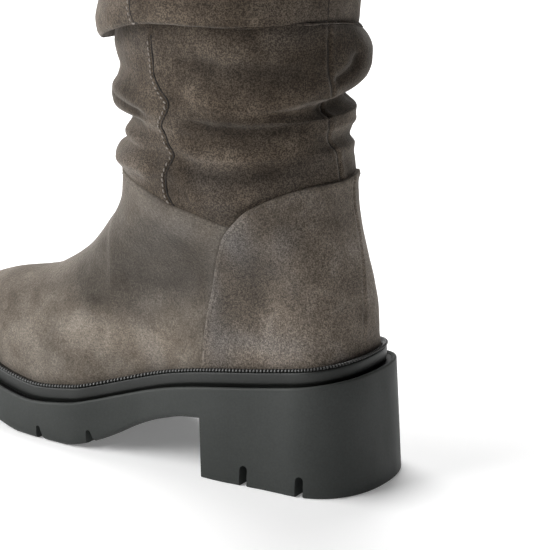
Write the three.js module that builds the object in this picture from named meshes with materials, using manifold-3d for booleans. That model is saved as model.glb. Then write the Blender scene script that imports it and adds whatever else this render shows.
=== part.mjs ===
// A left slouch boot in suede on a chunky moulded rubber unit: outsole with block heel, midsole band,
// notched welt strip, insole, hollow upper with a gathered shaft, and the vamp and counter that are
// sewn over it. Millimetres, +Z up, toe towards -X, outer side towards -Y, floor at z = 0.

import * as THREE from 'three';
import { mergeVertices } from 'three/addons/utils/BufferGeometryUtils.js';
import Module from 'manifold-3d';

const wasm = await Module();
wasm.setup();

// Sole
const soleLength = 284;
const ballWidth = 94; // across the lip of the outsole
const heelWidth = 77; // across the lip of the outsole
const heelHeight = 62; // floor to lip at the back
const platformHeight = 21; // floor to lip at its lowest, under the ball
const toeRise = 15; // lip at the toe tip above the platform
const toeSpring = 19; // tread at the toe tip above the floor
const heelBlockLength = 81;
const breastSlant = 2;
const breastArch = 31; // floor to the waist's underside, just ahead of the heel
const heelFlare = 3.2; // heel's foot stands out beyond its lip
const treadRounding = 2.6;
const lipRounding = 1.4;
const heelRounding = 1.2;
const toeCapLength = 62;
const heelCapLength = 33;
const toeShift = 5; // toe tip towards the inner side
const heelNotchDepth = 9;
const heelNotchWidth = 3.6;
const treadNotchDepth = 6;
const treadNotchWidth = 4.4;

// Midsole band, welt strip and insole
const ledge = 5; // lip of the outsole outside the band
const grooveHeight = 1.6;
const grooveDepth = 2;
const bandHeight = 6.9; // lip to the band's top
const bandTilt = 0.4;
const weltShelf = 4; // band edge to the upper
const weltThickness = 1.3;
const weltProud = 0.3;
const insoleThickness = 3;
const insoleRoom = 1.1;
const gap = 0.3;
const overlayGap = 0.65; // upper to the pieces over it

// Upper
const wall = 2;
const overlay = 1.4; // vamp and counter
const instepHeight = 109; // floor to the instep at its share of the length in the ridge table
const ankleHeight = 150; // floor to the top of the foot part
const ankleDepth = 124; // front to back
const ankleWidth = 97;
const ankleBack = 24; // back of the ankle ahead of the heel's lip
const heelBulge = 10; // fullest part of the heel ahead of the heel's lip
const shaftHeight = 152; // ankle to collar
const slouch = 20; // how far the deepest fold stands out
const counterHeight = 153; // floor to the counter's top at the back
const counterFront = 82; // counter's front edge at the welt, ahead of the heel's lip

const outlineSteps = 30;
const ringPoints = 32;
const ellipsePower = 2.2;

// Half widths of the outsole's lip as shares of half the ball width, along shares of the sole's length.
// The row at the heel is a share of half the heel width.
const outlineTable = [
  { at: 0.0, outer: 0.824, inner: 0.82 },
  { at: 0.116, outer: 0.824, inner: 0.82 },
  { at: 0.29, outer: 0.885, inner: 0.79 },
  { at: 0.42, outer: 0.862, inner: 0.76 },
  { at: 0.5, outer: 0.905, inner: 0.82 },
  { at: 0.585, outer: 0.985, inner: 0.93 },
  { at: 0.67, outer: 0.983, inner: 1.0 },
  { at: 0.74, outer: 0.949, inner: 0.99 },
  { at: 0.82, outer: 0.86, inner: 0.92 },
  { at: 1.0, outer: 0.76, inner: 0.8 },
];

// Lip height: share of the heel's rise above the platform, and share of the toe's rise.
const lipTable = [
  { at: 0.0, heel: 1.0, toe: 0 },
  { at: 0.17, heel: 0.78, toe: 0 },
  { at: 0.29, heel: 0.655, toe: 0 },
  { at: 0.37, heel: 0.535, toe: 0 },
  { at: 0.48, heel: 0.295, toe: 0 },
  { at: 0.535, heel: 0.172, toe: 0 },
  { at: 0.585, heel: 0.083, toe: 0 },
  { at: 0.68, heel: 0.0, toe: 0 },
  { at: 0.75, heel: 0.0, toe: 0.13 },
  { at: 0.86, heel: 0.0, toe: 0.52 },
  { at: 1.0, heel: 0.0, toe: 1.0 },
];

// Underside ahead of the heel: share of the breast's arch, and share of the toe spring.
const underTable = [
  { at: 0.28, arch: 1.0, toe: 0 },
  { at: 0.34, arch: 0.926, toe: 0 },
  { at: 0.373, arch: 0.835, toe: 0 },
  { at: 0.4, arch: 0.75, toe: 0 },
  { at: 0.44, arch: 0.58, toe: 0 },
  { at: 0.48, arch: 0.37, toe: 0 },
  { at: 0.525, arch: 0.17, toe: 0 },
  { at: 0.565, arch: 0.05, toe: 0 },
  { at: 0.6, arch: 0.0, toe: 0 },
  { at: 0.71, arch: 0.0, toe: 0 },
  { at: 0.76, arch: 0.0, toe: 0.12 },
  { at: 0.87, arch: 0.0, toe: 0.48 },
  { at: 1.0, arch: 0.0, toe: 1.0 },
];

// Top line of the foot from the ankle to the toe: share of the length that the upper takes ahead of
// the ankle's front, and share of the rise from the feather edge at the toe to the ankle.
const ridgeTable = [
  { reach: 0.0, rise: 1.0 },
  { reach: 0.008, rise: 0.92 },
  { reach: 0.02, rise: 0.85 },
  { reach: 0.055, rise: 0.78 },
  { reach: 0.102, rise: 0.715 },
  { reach: 0.173, rise: 0.617 },
  { reach: 0.252, rise: 0.534 },
  { reach: 0.36, rise: 0.447 },
  { reach: 0.44, rise: 0.397 },
  { reach: 0.54, rise: 0.362 },
  { reach: 0.64, rise: 0.336 },
  { reach: 0.74, rise: 0.303 },
  { reach: 0.83, rise: 0.262 },
  { reach: 0.91, rise: 0.198 },
  { reach: 0.97, rise: 0.113 },
  { reach: 1.0, rise: 0.0 },
];

// Back line of the heel: share of the rise from the feather edge to the ankle, and share of the way
// from the heel's fullest part to the ankle's back.
const heelTable = [
  { rise: 0.0, lean: 0.06 },
  { rise: 0.1, lean: 0.0 },
  { rise: 0.24, lean: 0.03 },
  { rise: 0.42, lean: 0.25 },
  { rise: 0.58, lean: 0.5 },
  { rise: 0.76, lean: 0.78 },
  { rise: 0.9, lean: 0.95 },
  { rise: 1.0, lean: 1.0 },
];

// Shaft folds from the ankle to the collar. Each row is one ring: its height at the front, the side
// and the back as shares of the shaft's height, and how far it stands out there as shares of the slouch.
const foldTable = [
  { front: 0.0, side: 0.0, back: 0.0, outFront: 0.0, outSide: 0.0, outBack: 0.0, outInner: 0.0 },
  { front: 0.03, side: 0.03, back: 0.035, outFront: 0.16, outSide: 0.05, outBack: 0.05, outInner: 0.05 },
  { front: 0.065, side: 0.062, back: 0.07, outFront: 0.3, outSide: 0.09, outBack: 0.0, outInner: 0.1 },
  { front: 0.1, side: 0.09, back: 0.1, outFront: 0.17, outSide: 0.05, outBack: -0.02, outInner: 0.03 },
  { front: 0.125, side: 0.118, back: 0.135, outFront: -0.08, outSide: -0.03, outBack: 0.02, outInner: -0.02 },
  { front: 0.155, side: 0.15, back: 0.165, outFront: -0.04, outSide: 0.0, outBack: -0.05, outInner: 0.0 },
  { front: 0.188, side: 0.182, back: 0.195, outFront: -0.18, outSide: -0.05, outBack: -0.08, outInner: -0.03 },
  { front: 0.22, side: 0.215, back: 0.225, outFront: 0.2, outSide: 0.03, outBack: -0.05, outInner: 0.08 },
  { front: 0.265, side: 0.255, back: 0.255, outFront: 0.43, outSide: 0.1, outBack: 0.02, outInner: 0.14 },
  { front: 0.3, side: 0.29, back: 0.285, outFront: 0.37, outSide: 0.08, outBack: -0.22, outInner: 0.02 },
  { front: 0.335, side: 0.325, back: 0.315, outFront: 0.2, outSide: 0.0, outBack: -0.02, outInner: 0.12 },
  { front: 0.365, side: 0.37, back: 0.36, outFront: 0.1, outSide: -0.05, outBack: 0.3, outInner: 0.3 },
  { front: 0.4, side: 0.425, back: 0.41, outFront: 0.16, outSide: -0.05, outBack: 0.42, outInner: 0.42 },
  { front: 0.435, side: 0.485, back: 0.46, outFront: 0.2, outSide: 0.0, outBack: 0.4, outInner: 0.4 },
  { front: 0.475, side: 0.56, back: 0.52, outFront: 0.16, outSide: 0.02, outBack: 0.24, outInner: 0.28 },
  { front: 0.5, side: 0.595, back: 0.565, outFront: 0.22, outSide: 0.04, outBack: 0.1, outInner: 0.1 },
  { front: 0.49, side: 0.588, back: 0.56, outFront: 0.42, outSide: 0.16, outBack: 0.18, outInner: 0.2 },
  { front: 0.458, side: 0.57, back: 0.55, outFront: 0.52, outSide: 0.24, outBack: 0.24, outInner: 0.28 },
  { front: 0.475, side: 0.588, back: 0.572, outFront: 0.8, outSide: 0.32, outBack: 0.28, outInner: 0.34 },
  { front: 0.525, side: 0.63, back: 0.615, outFront: 0.96, outSide: 0.36, outBack: 0.28, outInner: 0.36 },
  { front: 0.58, side: 0.67, back: 0.66, outFront: 0.8, outSide: 0.32, outBack: 0.2, outInner: 0.3 },
  { front: 0.64, side: 0.71, back: 0.705, outFront: 0.56, outSide: 0.24, outBack: 0.1, outInner: 0.2 },
  { front: 0.7, side: 0.745, back: 0.745, outFront: 0.52, outSide: 0.22, outBack: 0.12, outInner: 0.2 },
  { front: 0.76, side: 0.785, back: 0.785, outFront: 0.66, outSide: 0.28, outBack: 0.3, outInner: 0.3 },
  { front: 0.82, side: 0.83, back: 0.83, outFront: 0.52, outSide: 0.24, outBack: 0.3, outInner: 0.26 },
  { front: 0.875, side: 0.88, back: 0.88, outFront: 0.36, outSide: 0.18, outBack: 0.16, outInner: 0.2 },
  { front: 0.94, side: 0.94, back: 0.94, outFront: 0.32, outSide: 0.16, outBack: 0.12, outInner: 0.16 },
  { front: 1.0, side: 1.0, back: 1.0, outFront: 0.32, outSide: 0.16, outBack: 0.12, outInner: 0.16 },
];

// Top edge of the vamp from its meeting with the counter to the front: share of the way from the
// heel's lip to the ankle's front, and share of the ankle's height.
const vampEdge = [
  { reach: 0.4, height: 0.905 },
  { reach: 0.56, height: 0.915 },
  { reach: 0.66, height: 0.945 },
  { reach: 0.76, height: 0.975 },
  { reach: 0.88, height: 1.0 },
  { reach: 1.1, height: 1.0 },
];

// Outline of the counter from the welt up its front edge and over its top: share of its length at the
// welt, and share of the way from the welt to the counter's top.
const counterEdge = [
  { reach: 1.0, rise: 0.0 },
  { reach: 0.985, rise: 0.14 },
  { reach: 0.955, rise: 0.32 },
  { reach: 0.905, rise: 0.5 },
  { reach: 0.845, rise: 0.66 },
  { reach: 0.765, rise: 0.8 },
  { reach: 0.68, rise: 0.9 },
  { reach: 0.58, rise: 0.96 },
  { reach: 0.46, rise: 0.995 },
  { reach: 0.3, rise: 1.0 },
];

const notchShares = { heel: [0.084, 0.197], tread: [0.53, 0.655, 0.78, 0.895] };

function smooth(low, high, x) {
  const t = THREE.MathUtils.clamp((x - low) / (high - low), 0, 1);
  return t * t * (3 - 2 * t);
}

// A column of a table at x, by a cubic that never swings past its rows.
function read(table, key, column, x) {
  const last = table.length - 1;
  const dir = table[last][key] > table[0][key] ? 1 : -1;
  if ((x - table[0][key]) * dir <= 0) return table[0][column];
  if ((x - table[last][key]) * dir >= 0) return table[last][column];
  let i = 0;
  while ((x - table[i + 1][key]) * dir > 0) i += 1;
  const step = (n) => table[n + 1][key] - table[n][key];
  const slope = (n) => (table[n + 1][column] - table[n][column]) / step(n);
  const tangent = (n) => {
    if (n === 0) return slope(0);
    if (n === last) return slope(last - 1);
    const [a, b] = [slope(n - 1), slope(n)];
    return a * b <= 0 ? 0 : (2 * a * b) / (a + b);
  };
  const h = step(i);
  const t = (x - table[i][key]) / h;
  const [p, q] = [table[i][column], table[i + 1][column]];
  return p * (1 + 2 * t) * (1 - t) ** 2 + tangent(i) * h * t * (1 - t) ** 2
    + q * t * t * (3 - 2 * t) + tangent(i + 1) * h * t * t * (t - 1);
}

// Heights of the sole by the distance ahead of the heel's lip.
const lipHeight = (f) => platformHeight
  + (heelHeight - platformHeight) * read(lipTable, 'at', 'heel', f / soleLength)
  + toeRise * read(lipTable, 'at', 'toe', f / soleLength);
const underHeight = (f) => breastArch * read(underTable, 'at', 'arch', f / soleLength)
  + toeSpring * read(underTable, 'at', 'toe', f / soleLength);
const featherHeight = (f) => lipHeight(f) + bandHeight + 2 * gap;

// The lip's plan outline: y on the outer (-1) or inner (+1) side.
function outlineAt(side, f) {
  const share = read(outlineTable, 'at', side < 0 ? 'outer' : 'inner', f / soleLength);
  const heelShare = outlineTable[0][side < 0 ? 'outer' : 'inner'];
  const heel = smooth(heelBlockLength, heelCapLength, f);
  const half = THREE.MathUtils.lerp((share * ballWidth) / 2, (share / heelShare) * (heelWidth / 2), heel);
  const back = Math.max(0, 1 - f / heelCapLength);
  const toe = Math.max(0, (f - soleLength + toeCapLength) / toeCapLength);
  const cap = (1 - back ** 2.3) ** (1 / 2.3) * (1 - Math.min(1, toe) ** 2) ** 0.5;
  const tip = toeShift * smooth(0.55 * soleLength, soleLength, f);
  return side * half * cap + tip;
}

// Stations along the sole, close together at both ends, with a pair for the heel's breast.
function stations() {
  const list = [];
  for (let i = 0; i <= outlineSteps; i += 1) {
    list.push((soleLength * (1 - Math.cos((Math.PI * i) / outlineSteps))) / 2);
  }
  const near = (f) => Math.abs(f - heelBlockLength) < 4 || Math.abs(f - heelBlockLength - breastSlant) < 4;
  return [...list.filter((f) => !near(f)), heelBlockLength, heelBlockLength + breastSlant]
    .sort((a, b) => a - b);
}

// The closed outline, from the heel's back along the outer side to the toe and back along the inner.
function outline(list) {
  const loop = [];
  list.forEach((f) => loop.push({ f, y: outlineAt(-1, f) }));
  for (let i = list.length - 2; i > 0; i -= 1) loop.push({ f: list[i], y: outlineAt(1, list[i]) });
  return loop;
}

// The outline moved inwards, keeping each point's own station.
function inset(loop, distance) {
  return loop.map((p, i) => {
    const a = loop[(i + loop.length - 1) % loop.length];
    const b = loop[(i + 1) % loop.length];
    const run = Math.hypot(b.f - a.f, b.y - a.y);
    const d = typeof distance === 'function' ? distance(p.f) : distance;
    return { f: p.f - ((b.y - a.y) / run) * d, y: p.y + ((b.f - a.f) / run) * d, station: p.f };
  });
}

function geometryOf(vertices, triangles) {
  const geometry = new THREE.BufferGeometry();
  geometry.setAttribute('position', new THREE.Float32BufferAttribute(vertices.flat(), 3));
  geometry.setIndex(triangles.flat());
  return geometry;
}

// A solid through stacked loops, bottom to top, closed by strips across both ends.
function stack(loops) {
  const n = loops[0].length;
  const half = n / 2;
  const vertices = loops.flat();
  const triangles = [];
  for (let k = 0; k + 1 < loops.length; k += 1) {
    for (let i = 0; i < n; i += 1) {
      const [a, b] = [k * n + i, k * n + ((i + 1) % n)];
      triangles.push([a, a + n, b], [b, a + n, b + n]);
    }
  }
  const top = (loops.length - 1) * n;
  for (let i = 0; i < half; i += 1) {
    const [a, b] = [i, i + 1];
    const [c, d] = [(n - i) % n, n - i - 1];
    if (a !== c) triangles.push([a, b, c], [top + a, top + c, top + b]);
    if (b !== d) triangles.push([b, d, c], [top + b, top + c, top + d]);
  }
  return geometryOf(vertices, triangles);
}

// A ring-shaped solid between an outer and an inner grid of loops, bottom to top.
function sleeve(outside, within) {
  const n = outside[0].length;
  const rings = [...outside, ...[...within].reverse()];
  const triangles = [];
  rings.forEach((_, k) => {
    const next = ((k + 1) % rings.length) * n;
    for (let i = 0; i < n; i += 1) {
      const [a, b] = [k * n + i, k * n + ((i + 1) % n)];
      const [c, d] = [next + i, next + ((i + 1) % n)];
      triangles.push([a, c, b], [b, c, d]);
    }
  });
  return geometryOf(rings.flat(), triangles);
}

function manifoldOf(geometry) {
  const bare = geometry.clone();
  bare.deleteAttribute('normal');
  bare.deleteAttribute('uv');
  const merged = mergeVertices(bare, 1e-4);
  return new wasm.Manifold(new wasm.Mesh({
    numProp: 3,
    vertProperties: Float32Array.from(merged.attributes.position.array),
    triVerts: Uint32Array.from(merged.index.array),
  }));
}

function geometryFrom(manifold) {
  const mesh = manifold.getMesh();
  const geometry = new THREE.BufferGeometry();
  geometry.setAttribute('position', new THREE.BufferAttribute(mesh.vertProperties, 3));
  geometry.setIndex(new THREE.BufferAttribute(mesh.triVerts, 1));
  return geometry;
}

// A loop of the plan outline lifted by a height that depends on the distance from the heel.
const lift = (loop, height) => loop.map((p) => [-p.f, p.y, height(p)]);

// A straight bar across the sole, wider at its mouth, with its mouth below z.
function notchBar(f, width, depth, z) {
  const shape = new THREE.Shape([
    new THREE.Vector2(-width / 2, -depth),
    new THREE.Vector2(width / 2, -depth),
    new THREE.Vector2(width * 0.32, depth),
    new THREE.Vector2(-width * 0.32, depth),
  ]);
  const bar = new THREE.ExtrudeGeometry(shape, { depth: ballWidth * 1.5, bevelEnabled: false });
  bar.rotateX(Math.PI / 2);
  bar.translate(-f, ballWidth * 0.75, z);
  return bar;
}

function outsole(loop) {
  const base = (station) => (station <= heelBlockLength ? 0 : underHeight(station));
  const flare = (station) => heelFlare * smooth(heelBlockLength * 1.5, heelBlockLength * 0.8, station);
  const round = (station) => THREE.MathUtils.lerp(treadRounding, heelRounding,
    smooth(heelBlockLength + breastSlant + 1, heelBlockLength, station));
  const level = (share) => (p) => base(p.station) + round(p.station) * share;
  const low = (share) => inset(loop, (f) => round(f) * share - flare(f));
  let solid = manifoldOf(stack([
    lift(low(1), level(0)),
    lift(low(0.3), level(0.3)),
    lift(low(0), level(1)),
    lift(inset(loop, 0), (p) => lipHeight(p.f) - lipRounding),
    lift(inset(loop, lipRounding * 0.3), (p) => lipHeight(p.f) - lipRounding * 0.3),
    lift(inset(loop, lipRounding), (p) => lipHeight(p.f)),
  ]));
  notchShares.heel.forEach((share) => {
    solid = solid.subtract(manifoldOf(notchBar(share * soleLength, heelNotchWidth, heelNotchDepth, 0)));
  });
  notchShares.tread.forEach((share) => {
    const f = share * soleLength;
    solid = solid.subtract(manifoldOf(notchBar(f, treadNotchWidth, treadNotchDepth, underHeight(f))));
  });
  return geometryFrom(solid);
}

function midsole(loop) {
  const above = (rise) => (p) => lipHeight(p.f) + rise;
  return stack([
    lift(inset(loop, ledge + grooveDepth), above(gap)),
    lift(inset(loop, ledge + grooveDepth), above(grooveHeight)),
    lift(inset(loop, ledge), above(grooveHeight + gap)),
    lift(inset(loop, ledge + bandTilt), above(bandHeight)),
  ]);
}

function welt(loop) {
  const above = (rise) => (p) => lipHeight(p.f) + bandHeight + rise;
  const outside = inset(loop, ledge - weltProud);
  const within = inset(loop, ledge + weltShelf - 3 * gap);
  return sleeve(
    [lift(outside, above(gap)), lift(outside, above(gap + weltThickness))],
    [lift(within, above(gap)), lift(within, above(gap + weltThickness))],
  );
}

function insole(loop) {
  const edge = ledge + weltShelf + overlay + overlayGap + wall + insoleRoom;
  const toe = (f) => smooth(soleLength - toeCapLength, soleLength, f);
  return stack([
    lift(inset(loop, (f) => edge + toe(f) * insoleThickness * 0.5), (p) => featherHeight(p.f)),
    lift(inset(loop, (f) => edge + toe(f) * insoleThickness * 2), (p) => featherHeight(p.f) + insoleThickness),
  ]);
}

// The foot's plan outline at the welt, as its middle line and half width.
const fine = [];
for (let i = 0; i <= 160; i += 1) fine.push((soleLength * (1 - Math.cos((Math.PI * i) / 160))) / 2);
const featherLoop = inset(outline(fine), ledge + weltShelf);
const featherSide = (part) => part.sort((a, b) => a.f - b.f);
const outerEdge = featherSide(featherLoop.slice(0, fine.length));
const innerEdge = featherSide([featherLoop[0], ...featherLoop.slice(fine.length - 1)]);
const featherBack = outerEdge[0].f;
const toeTip = outerEdge[outerEdge.length - 1].f;

function featherAt(edge, f) {
  let i = 0;
  while (i < edge.length - 2 && edge[i + 1].f < f) i += 1;
  const t = THREE.MathUtils.clamp((f - edge[i].f) / (edge[i + 1].f - edge[i].f || 1), 0, 1);
  return THREE.MathUtils.lerp(edge[i].y, edge[i + 1].y, t);
}

const ankleFront = ankleBack + ankleDepth;
const toeFeather = featherHeight(toeTip);
const instepShare = 0.617;
const instepScale = (instepHeight - toeFeather) / (instepShare * (ankleHeight - toeFeather));

// Height of the foot's top line at a distance ahead of the heel's lip.
function ridgeHeight(f) {
  const reach = (f - ankleFront) / (toeTip - ankleFront);
  const rise = read(ridgeTable, 'reach', 'rise', reach);
  const scale = THREE.MathUtils.lerp(instepScale, 1, smooth(instepShare, 1, rise));
  return toeFeather + rise * scale * (ankleHeight - toeFeather);
}

function heelLine(rise) {
  return heelBulge + (ankleBack - heelBulge) * read(heelTable, 'rise', 'lean', rise);
}

// One ring of the foot part: level 0 is the feather edge and level 1 the ankle.
function footRing(level, front) {
  const back = level === 0 ? featherBack : heelLine(level);
  const settle = smooth(0.42, 1, level);
  const points = [];
  for (let j = 0; j < ringPoints; j += 1) {
    const turn = (2 * Math.PI * j) / ringPoints;
    const t = (1 - Math.cos(turn)) / 2;
    const f = back + t * (front - back);
    const side = j <= ringPoints / 2 ? -1 : 1;
    const z = THREE.MathUtils.lerp(featherHeight(f), ankleHeight, level);
    const plan = f - (back - featherBack) * (1 - smooth(back, back + ankleDepth, f));
    const [outer, inner] = [featherAt(outerEdge, plan), featherAt(innerEdge, plan)];
    const top = f < ankleFront ? ankleHeight + (ankleFront - f) * 2.4 : ridgeHeight(f);
    const up = THREE.MathUtils.clamp((z - featherHeight(f)) / Math.max(0.1, top - featherHeight(f)), 0, 1);
    const power = THREE.MathUtils.lerp(1.8, 2.7, smooth(ankleFront, toeTip, f));
    const swell = 1 + 0.05 * Math.sin(Math.PI * Math.min(1, up / 0.7)) ** 2;
    const dome = Math.sqrt(1 - up ** power) * swell;
    const tube = (ankleWidth / 2) * (1 - Math.abs(2 * t - 1) ** ellipsePower) ** (1 / ellipsePower);
    const half = THREE.MathUtils.lerp(((inner - outer) / 2) * dome, tube, settle);
    const middle = ((inner + outer) / 2) * (1 - 0.7 * level);
    points.push([-f, middle + side * (j % (ringPoints / 2) === 0 ? 0 : half), z]);
  }
  return points;
}

// Rings of the foot part, spaced evenly along its top line.
function footRings(count) {
  const path = [];
  const steps = 400;
  for (let i = 0; i <= steps; i += 1) {
    const f = THREE.MathUtils.lerp(toeTip, ankleFront, (i / steps) ** 1.6);
    const z = i === 0 ? toeFeather : ridgeHeight(f);
    const before = path[path.length - 1];
    const run = before ? before.run + Math.hypot(f - before.f, z - before.z) : 0;
    path.push({ f, z, run });
  }
  const total = path[steps].run;
  const rings = [];
  for (let k = 0; k <= count; k += 1) {
    const at = path.find((p) => p.run >= (total * k) / count - 1e-6);
    const low = featherHeight(at.f);
    const level = k === count ? 1 : THREE.MathUtils.clamp((at.z - low) / (ankleHeight - low), 0, 1);
    rings.push(footRing(level, k === count ? ankleFront : at.f));
  }
  return rings;
}

// One ring of the shaft at a place between the rows of the fold table.
function shaftRing(place) {
  const row = foldTable.map((r, i) => ({ ...r, row: i }));
  const get = (column) => read(row, 'row', column, place * (foldTable.length - 1));
  const centre = (ankleBack + ankleFront) / 2;
  const points = [];
  for (let j = 0; j < ringPoints; j += 1) {
    const turn = (2 * Math.PI * j) / ringPoints;
    const end = Math.cos(turn) ** 2;
    const side = j <= ringPoints / 2 ? -1 : 1;
    const ahead = Math.cos(turn) < 0;
    const out = slouch * (end * get(ahead ? 'outFront' : 'outBack')
      + (1 - end) * get(side < 0 ? 'outSide' : 'outInner'));
    const share = end * get(ahead ? 'front' : 'back') + (1 - end) * get('side');
    const half = (1 - Math.abs(Math.cos(turn)) ** ellipsePower) ** (1 / ellipsePower);
    const f = centre - (ankleDepth / 2 + out) * Math.cos(turn);
    const y = side * (ankleWidth / 2 + out) * (j % (ringPoints / 2) === 0 ? 0 : half);
    points.push([-f, y, ankleHeight + share * shaftHeight]);
  }
  return points;
}

// The grid moved along its own normals; the first ring keeps its height.
function offset(rings, distance) {
  const n = rings[0].length;
  const at = (k, j) => new THREE.Vector3(...rings[THREE.MathUtils.clamp(k, 0, rings.length - 1)][(j + n) % n]);
  return rings.map((ring, k) => ring.map((p, j) => {
    const round = at(k, j + 1).sub(at(k, j - 1));
    const up = at(k + 1, j).sub(at(k - 1, j));
    const normal = up.cross(round).normalize();
    if (k === 0) normal.setZ(0).normalize();
    return [p[0] + normal.x * distance, p[1] + normal.y * distance, k === 0 ? p[2] : p[2] + normal.z * distance];
  }));
}

// The shaft's inside: level rings one wall thickness within the nearest folds.
function shaftLining(rings, count, low) {
  const centre = -(ankleBack + ankleFront) / 2;
  const high = ankleHeight + shaftHeight;
  const reach = (high - low) / count;
  const inside = [];
  for (let k = 1; k <= count; k += 1) {
    const z = low + ((high - low) * k) / count;
    inside.push(rings[0].map((_, j) => {
      const near = rings.map((ring) => ring[j]).filter((p) => Math.abs(p[2] - z) <= reach);
      const radii = near.map((p) => Math.hypot(p[0] - centre, p[1]));
      const radius = Math.min(...radii) - wall;
      const p = near[radii.indexOf(Math.min(...radii))];
      const full = Math.hypot(p[0] - centre, p[1]);
      return [centre + ((p[0] - centre) * radius) / full, (p[1] * radius) / full, z];
    }));
  }
  return inside;
}

const footCount = 17;
const shaftCount = 40;
const whole = footRings(footCount);
for (let k = 1; k <= shaftCount; k += 1) whole.push(shaftRing(k / shaftCount));
const footPart = (distance) => offset(whole, distance).slice(0, footCount + 1);

function upper() {
  const skin = offset(whole, -(overlay + overlayGap));
  const lining = footPart(-(overlay + overlayGap + wall));
  const inside = shaftLining(skin, 20, ankleHeight);
  return sleeve(skin, [...lining, ...inside]);
}

// A shell of the foot part between two distances inside its outer surface.
const footShell = (outer, inner) => manifoldOf(sleeve(footPart(-outer), footPart(-inner)));

// A prism across the boot through a side outline of [distance ahead of the heel's lip, height].
function sidePrism(corners, width) {
  const shape = new THREE.Shape(corners.map(([f, z]) => new THREE.Vector2(-f, z)));
  const prism = new THREE.ExtrudeGeometry(shape, { depth: width, bevelEnabled: false });
  prism.rotateX(Math.PI / 2);
  prism.translate(0, width / 2, 0);
  return manifoldOf(prism);
}

const shellWidth = ankleWidth + ballWidth;
const counterBase = featherHeight(counterFront);
const counterCorners = (grow) => counterEdge.map(({ reach, rise }) => [
  reach * counterFront + grow,
  counterBase + rise * (counterHeight - counterBase) + grow * (1 - rise / 2),
]);
const counterPrism = (grow) => sidePrism([
  [counterFront + grow, 0],
  ...counterCorners(grow),
  [-ankleBack, counterHeight + grow],
  [-ankleBack, 0],
], shellWidth);

function vamp() {
  const edge = vampEdge.map(({ reach, height }) => [reach * ankleFront, height * ankleHeight - gap]);
  const body = sidePrism([
    [0, 0], [0, edge[0][1]], ...edge, [soleLength, ankleHeight - gap], [soleLength, 0],
  ], shellWidth);
  const clear = footShell(overlay + overlayGap - gap, overlay + overlayGap + wall);
  return geometryFrom(footShell(0, overlay).intersect(body).subtract(counterPrism(gap)).subtract(clear));
}

function counter() {
  return geometryFrom(footShell(0, overlay).intersect(counterPrism(0)));
}

const rubber = new THREE.MeshStandardMaterial({ color: 0x3d403e, roughness: 0.62, metalness: 0 });
const blackRubber = new THREE.MeshStandardMaterial({ color: 0x161817, roughness: 0.45, metalness: 0 });
const suede = new THREE.MeshStandardMaterial({ color: 0x6b6158, roughness: 0.95, metalness: 0 });
const shaftSuede = new THREE.MeshStandardMaterial({ color: 0x5b5148, roughness: 0.95, metalness: 0 });
const footbed = new THREE.MeshStandardMaterial({ color: 0x8a7a66, roughness: 0.8, metalness: 0 });

const boot = new THREE.Group();
function add(name, geometry, material) {
  const mesh = new THREE.Mesh(geometry, material);
  mesh.name = name;
  boot.add(mesh);
}

const soleLoop = outline(stations());
add('outsole', outsole(soleLoop), rubber);
add('midsole', midsole(soleLoop), rubber);
add('welt', welt(soleLoop), blackRubber);
add('insole', insole(soleLoop), footbed);
add('upper', upper(), shaftSuede);
add('vamp', vamp(), suede);
add('counter', counter(), suede);

// The origin is on the floor, under the middle of the boot's box.
const box = new THREE.Box3().setFromObject(boot);
const middle = box.getCenter(new THREE.Vector3());
boot.position.set(-middle.x, -middle.y, -box.min.z);
boot.updateMatrixWorld(true);

export default boot;
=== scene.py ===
import math

import bpy
import numpy as np
from mathutils import Matrix, Vector


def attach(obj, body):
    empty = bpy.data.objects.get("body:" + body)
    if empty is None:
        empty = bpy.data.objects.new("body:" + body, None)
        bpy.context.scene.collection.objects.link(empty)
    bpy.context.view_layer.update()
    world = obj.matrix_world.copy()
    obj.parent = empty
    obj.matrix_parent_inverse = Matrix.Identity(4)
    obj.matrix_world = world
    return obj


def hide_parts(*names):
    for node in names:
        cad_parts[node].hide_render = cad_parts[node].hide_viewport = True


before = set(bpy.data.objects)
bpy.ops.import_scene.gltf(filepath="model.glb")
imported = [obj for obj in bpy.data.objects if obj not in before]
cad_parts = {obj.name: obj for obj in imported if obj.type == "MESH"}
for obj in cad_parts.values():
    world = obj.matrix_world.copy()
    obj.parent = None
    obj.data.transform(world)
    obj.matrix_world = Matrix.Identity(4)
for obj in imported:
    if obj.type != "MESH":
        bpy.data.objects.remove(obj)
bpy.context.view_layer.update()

# Heel's lip in the row frame, in millimetres. The boot is worked out from there: f is the distance
# ahead of it, x = -f, y is negative on the outer side and z is up.
HEEL = np.array([140.4, -0.443, 0.0])

# Sole
SOLE_LENGTH = 284.0
BALL_WIDTH = 94.0
HEEL_WIDTH = 77.0
HEEL_HEIGHT = 62.0
PLATFORM = 21.0
TOE_RISE = 15.0
TOE_SPRING = 19.0
HEEL_BLOCK = 81.0
BREAST_SLANT = 2.0
BREAST_ARCH = 31.0
HEEL_FLARE = 3.2
TREAD_ROUNDING = 3.2
HEEL_ROUNDING = 1.2
LIP_ROUNDING = 1.4
TOE_CAP = 62.0
HEEL_CAP = 33.0
TOE_SHIFT = 5.0
LEDGE = 5.0
BAND = 6.9
SHELF = 4.0
FEATHER = BAND + 0.6

# Upper
WALL = 2.0
OVERLAY = 1.4
ANKLE = 150.0
ANKLE_DEPTH = 124.0
ANKLE_WIDTH = 97.0
ANKLE_BACK = 24.0
HEEL_BULGE = 10.0
INSTEP = 109.0
SHAFT = 152.0
SLOUCH = 20.0
COUNTER_TOP = 153.0
COUNTER_FRONT = 82.0
ANKLE_FRONT = ANKLE_BACK + ANKLE_DEPTH
ANKLE_MID = (ANKLE_BACK + ANKLE_FRONT) / 2

# Mesh steps
AROUND = 400
FOOT_RINGS = 170
SHAFT_RINGS = 228
BAND_AROUND = 640
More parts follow.
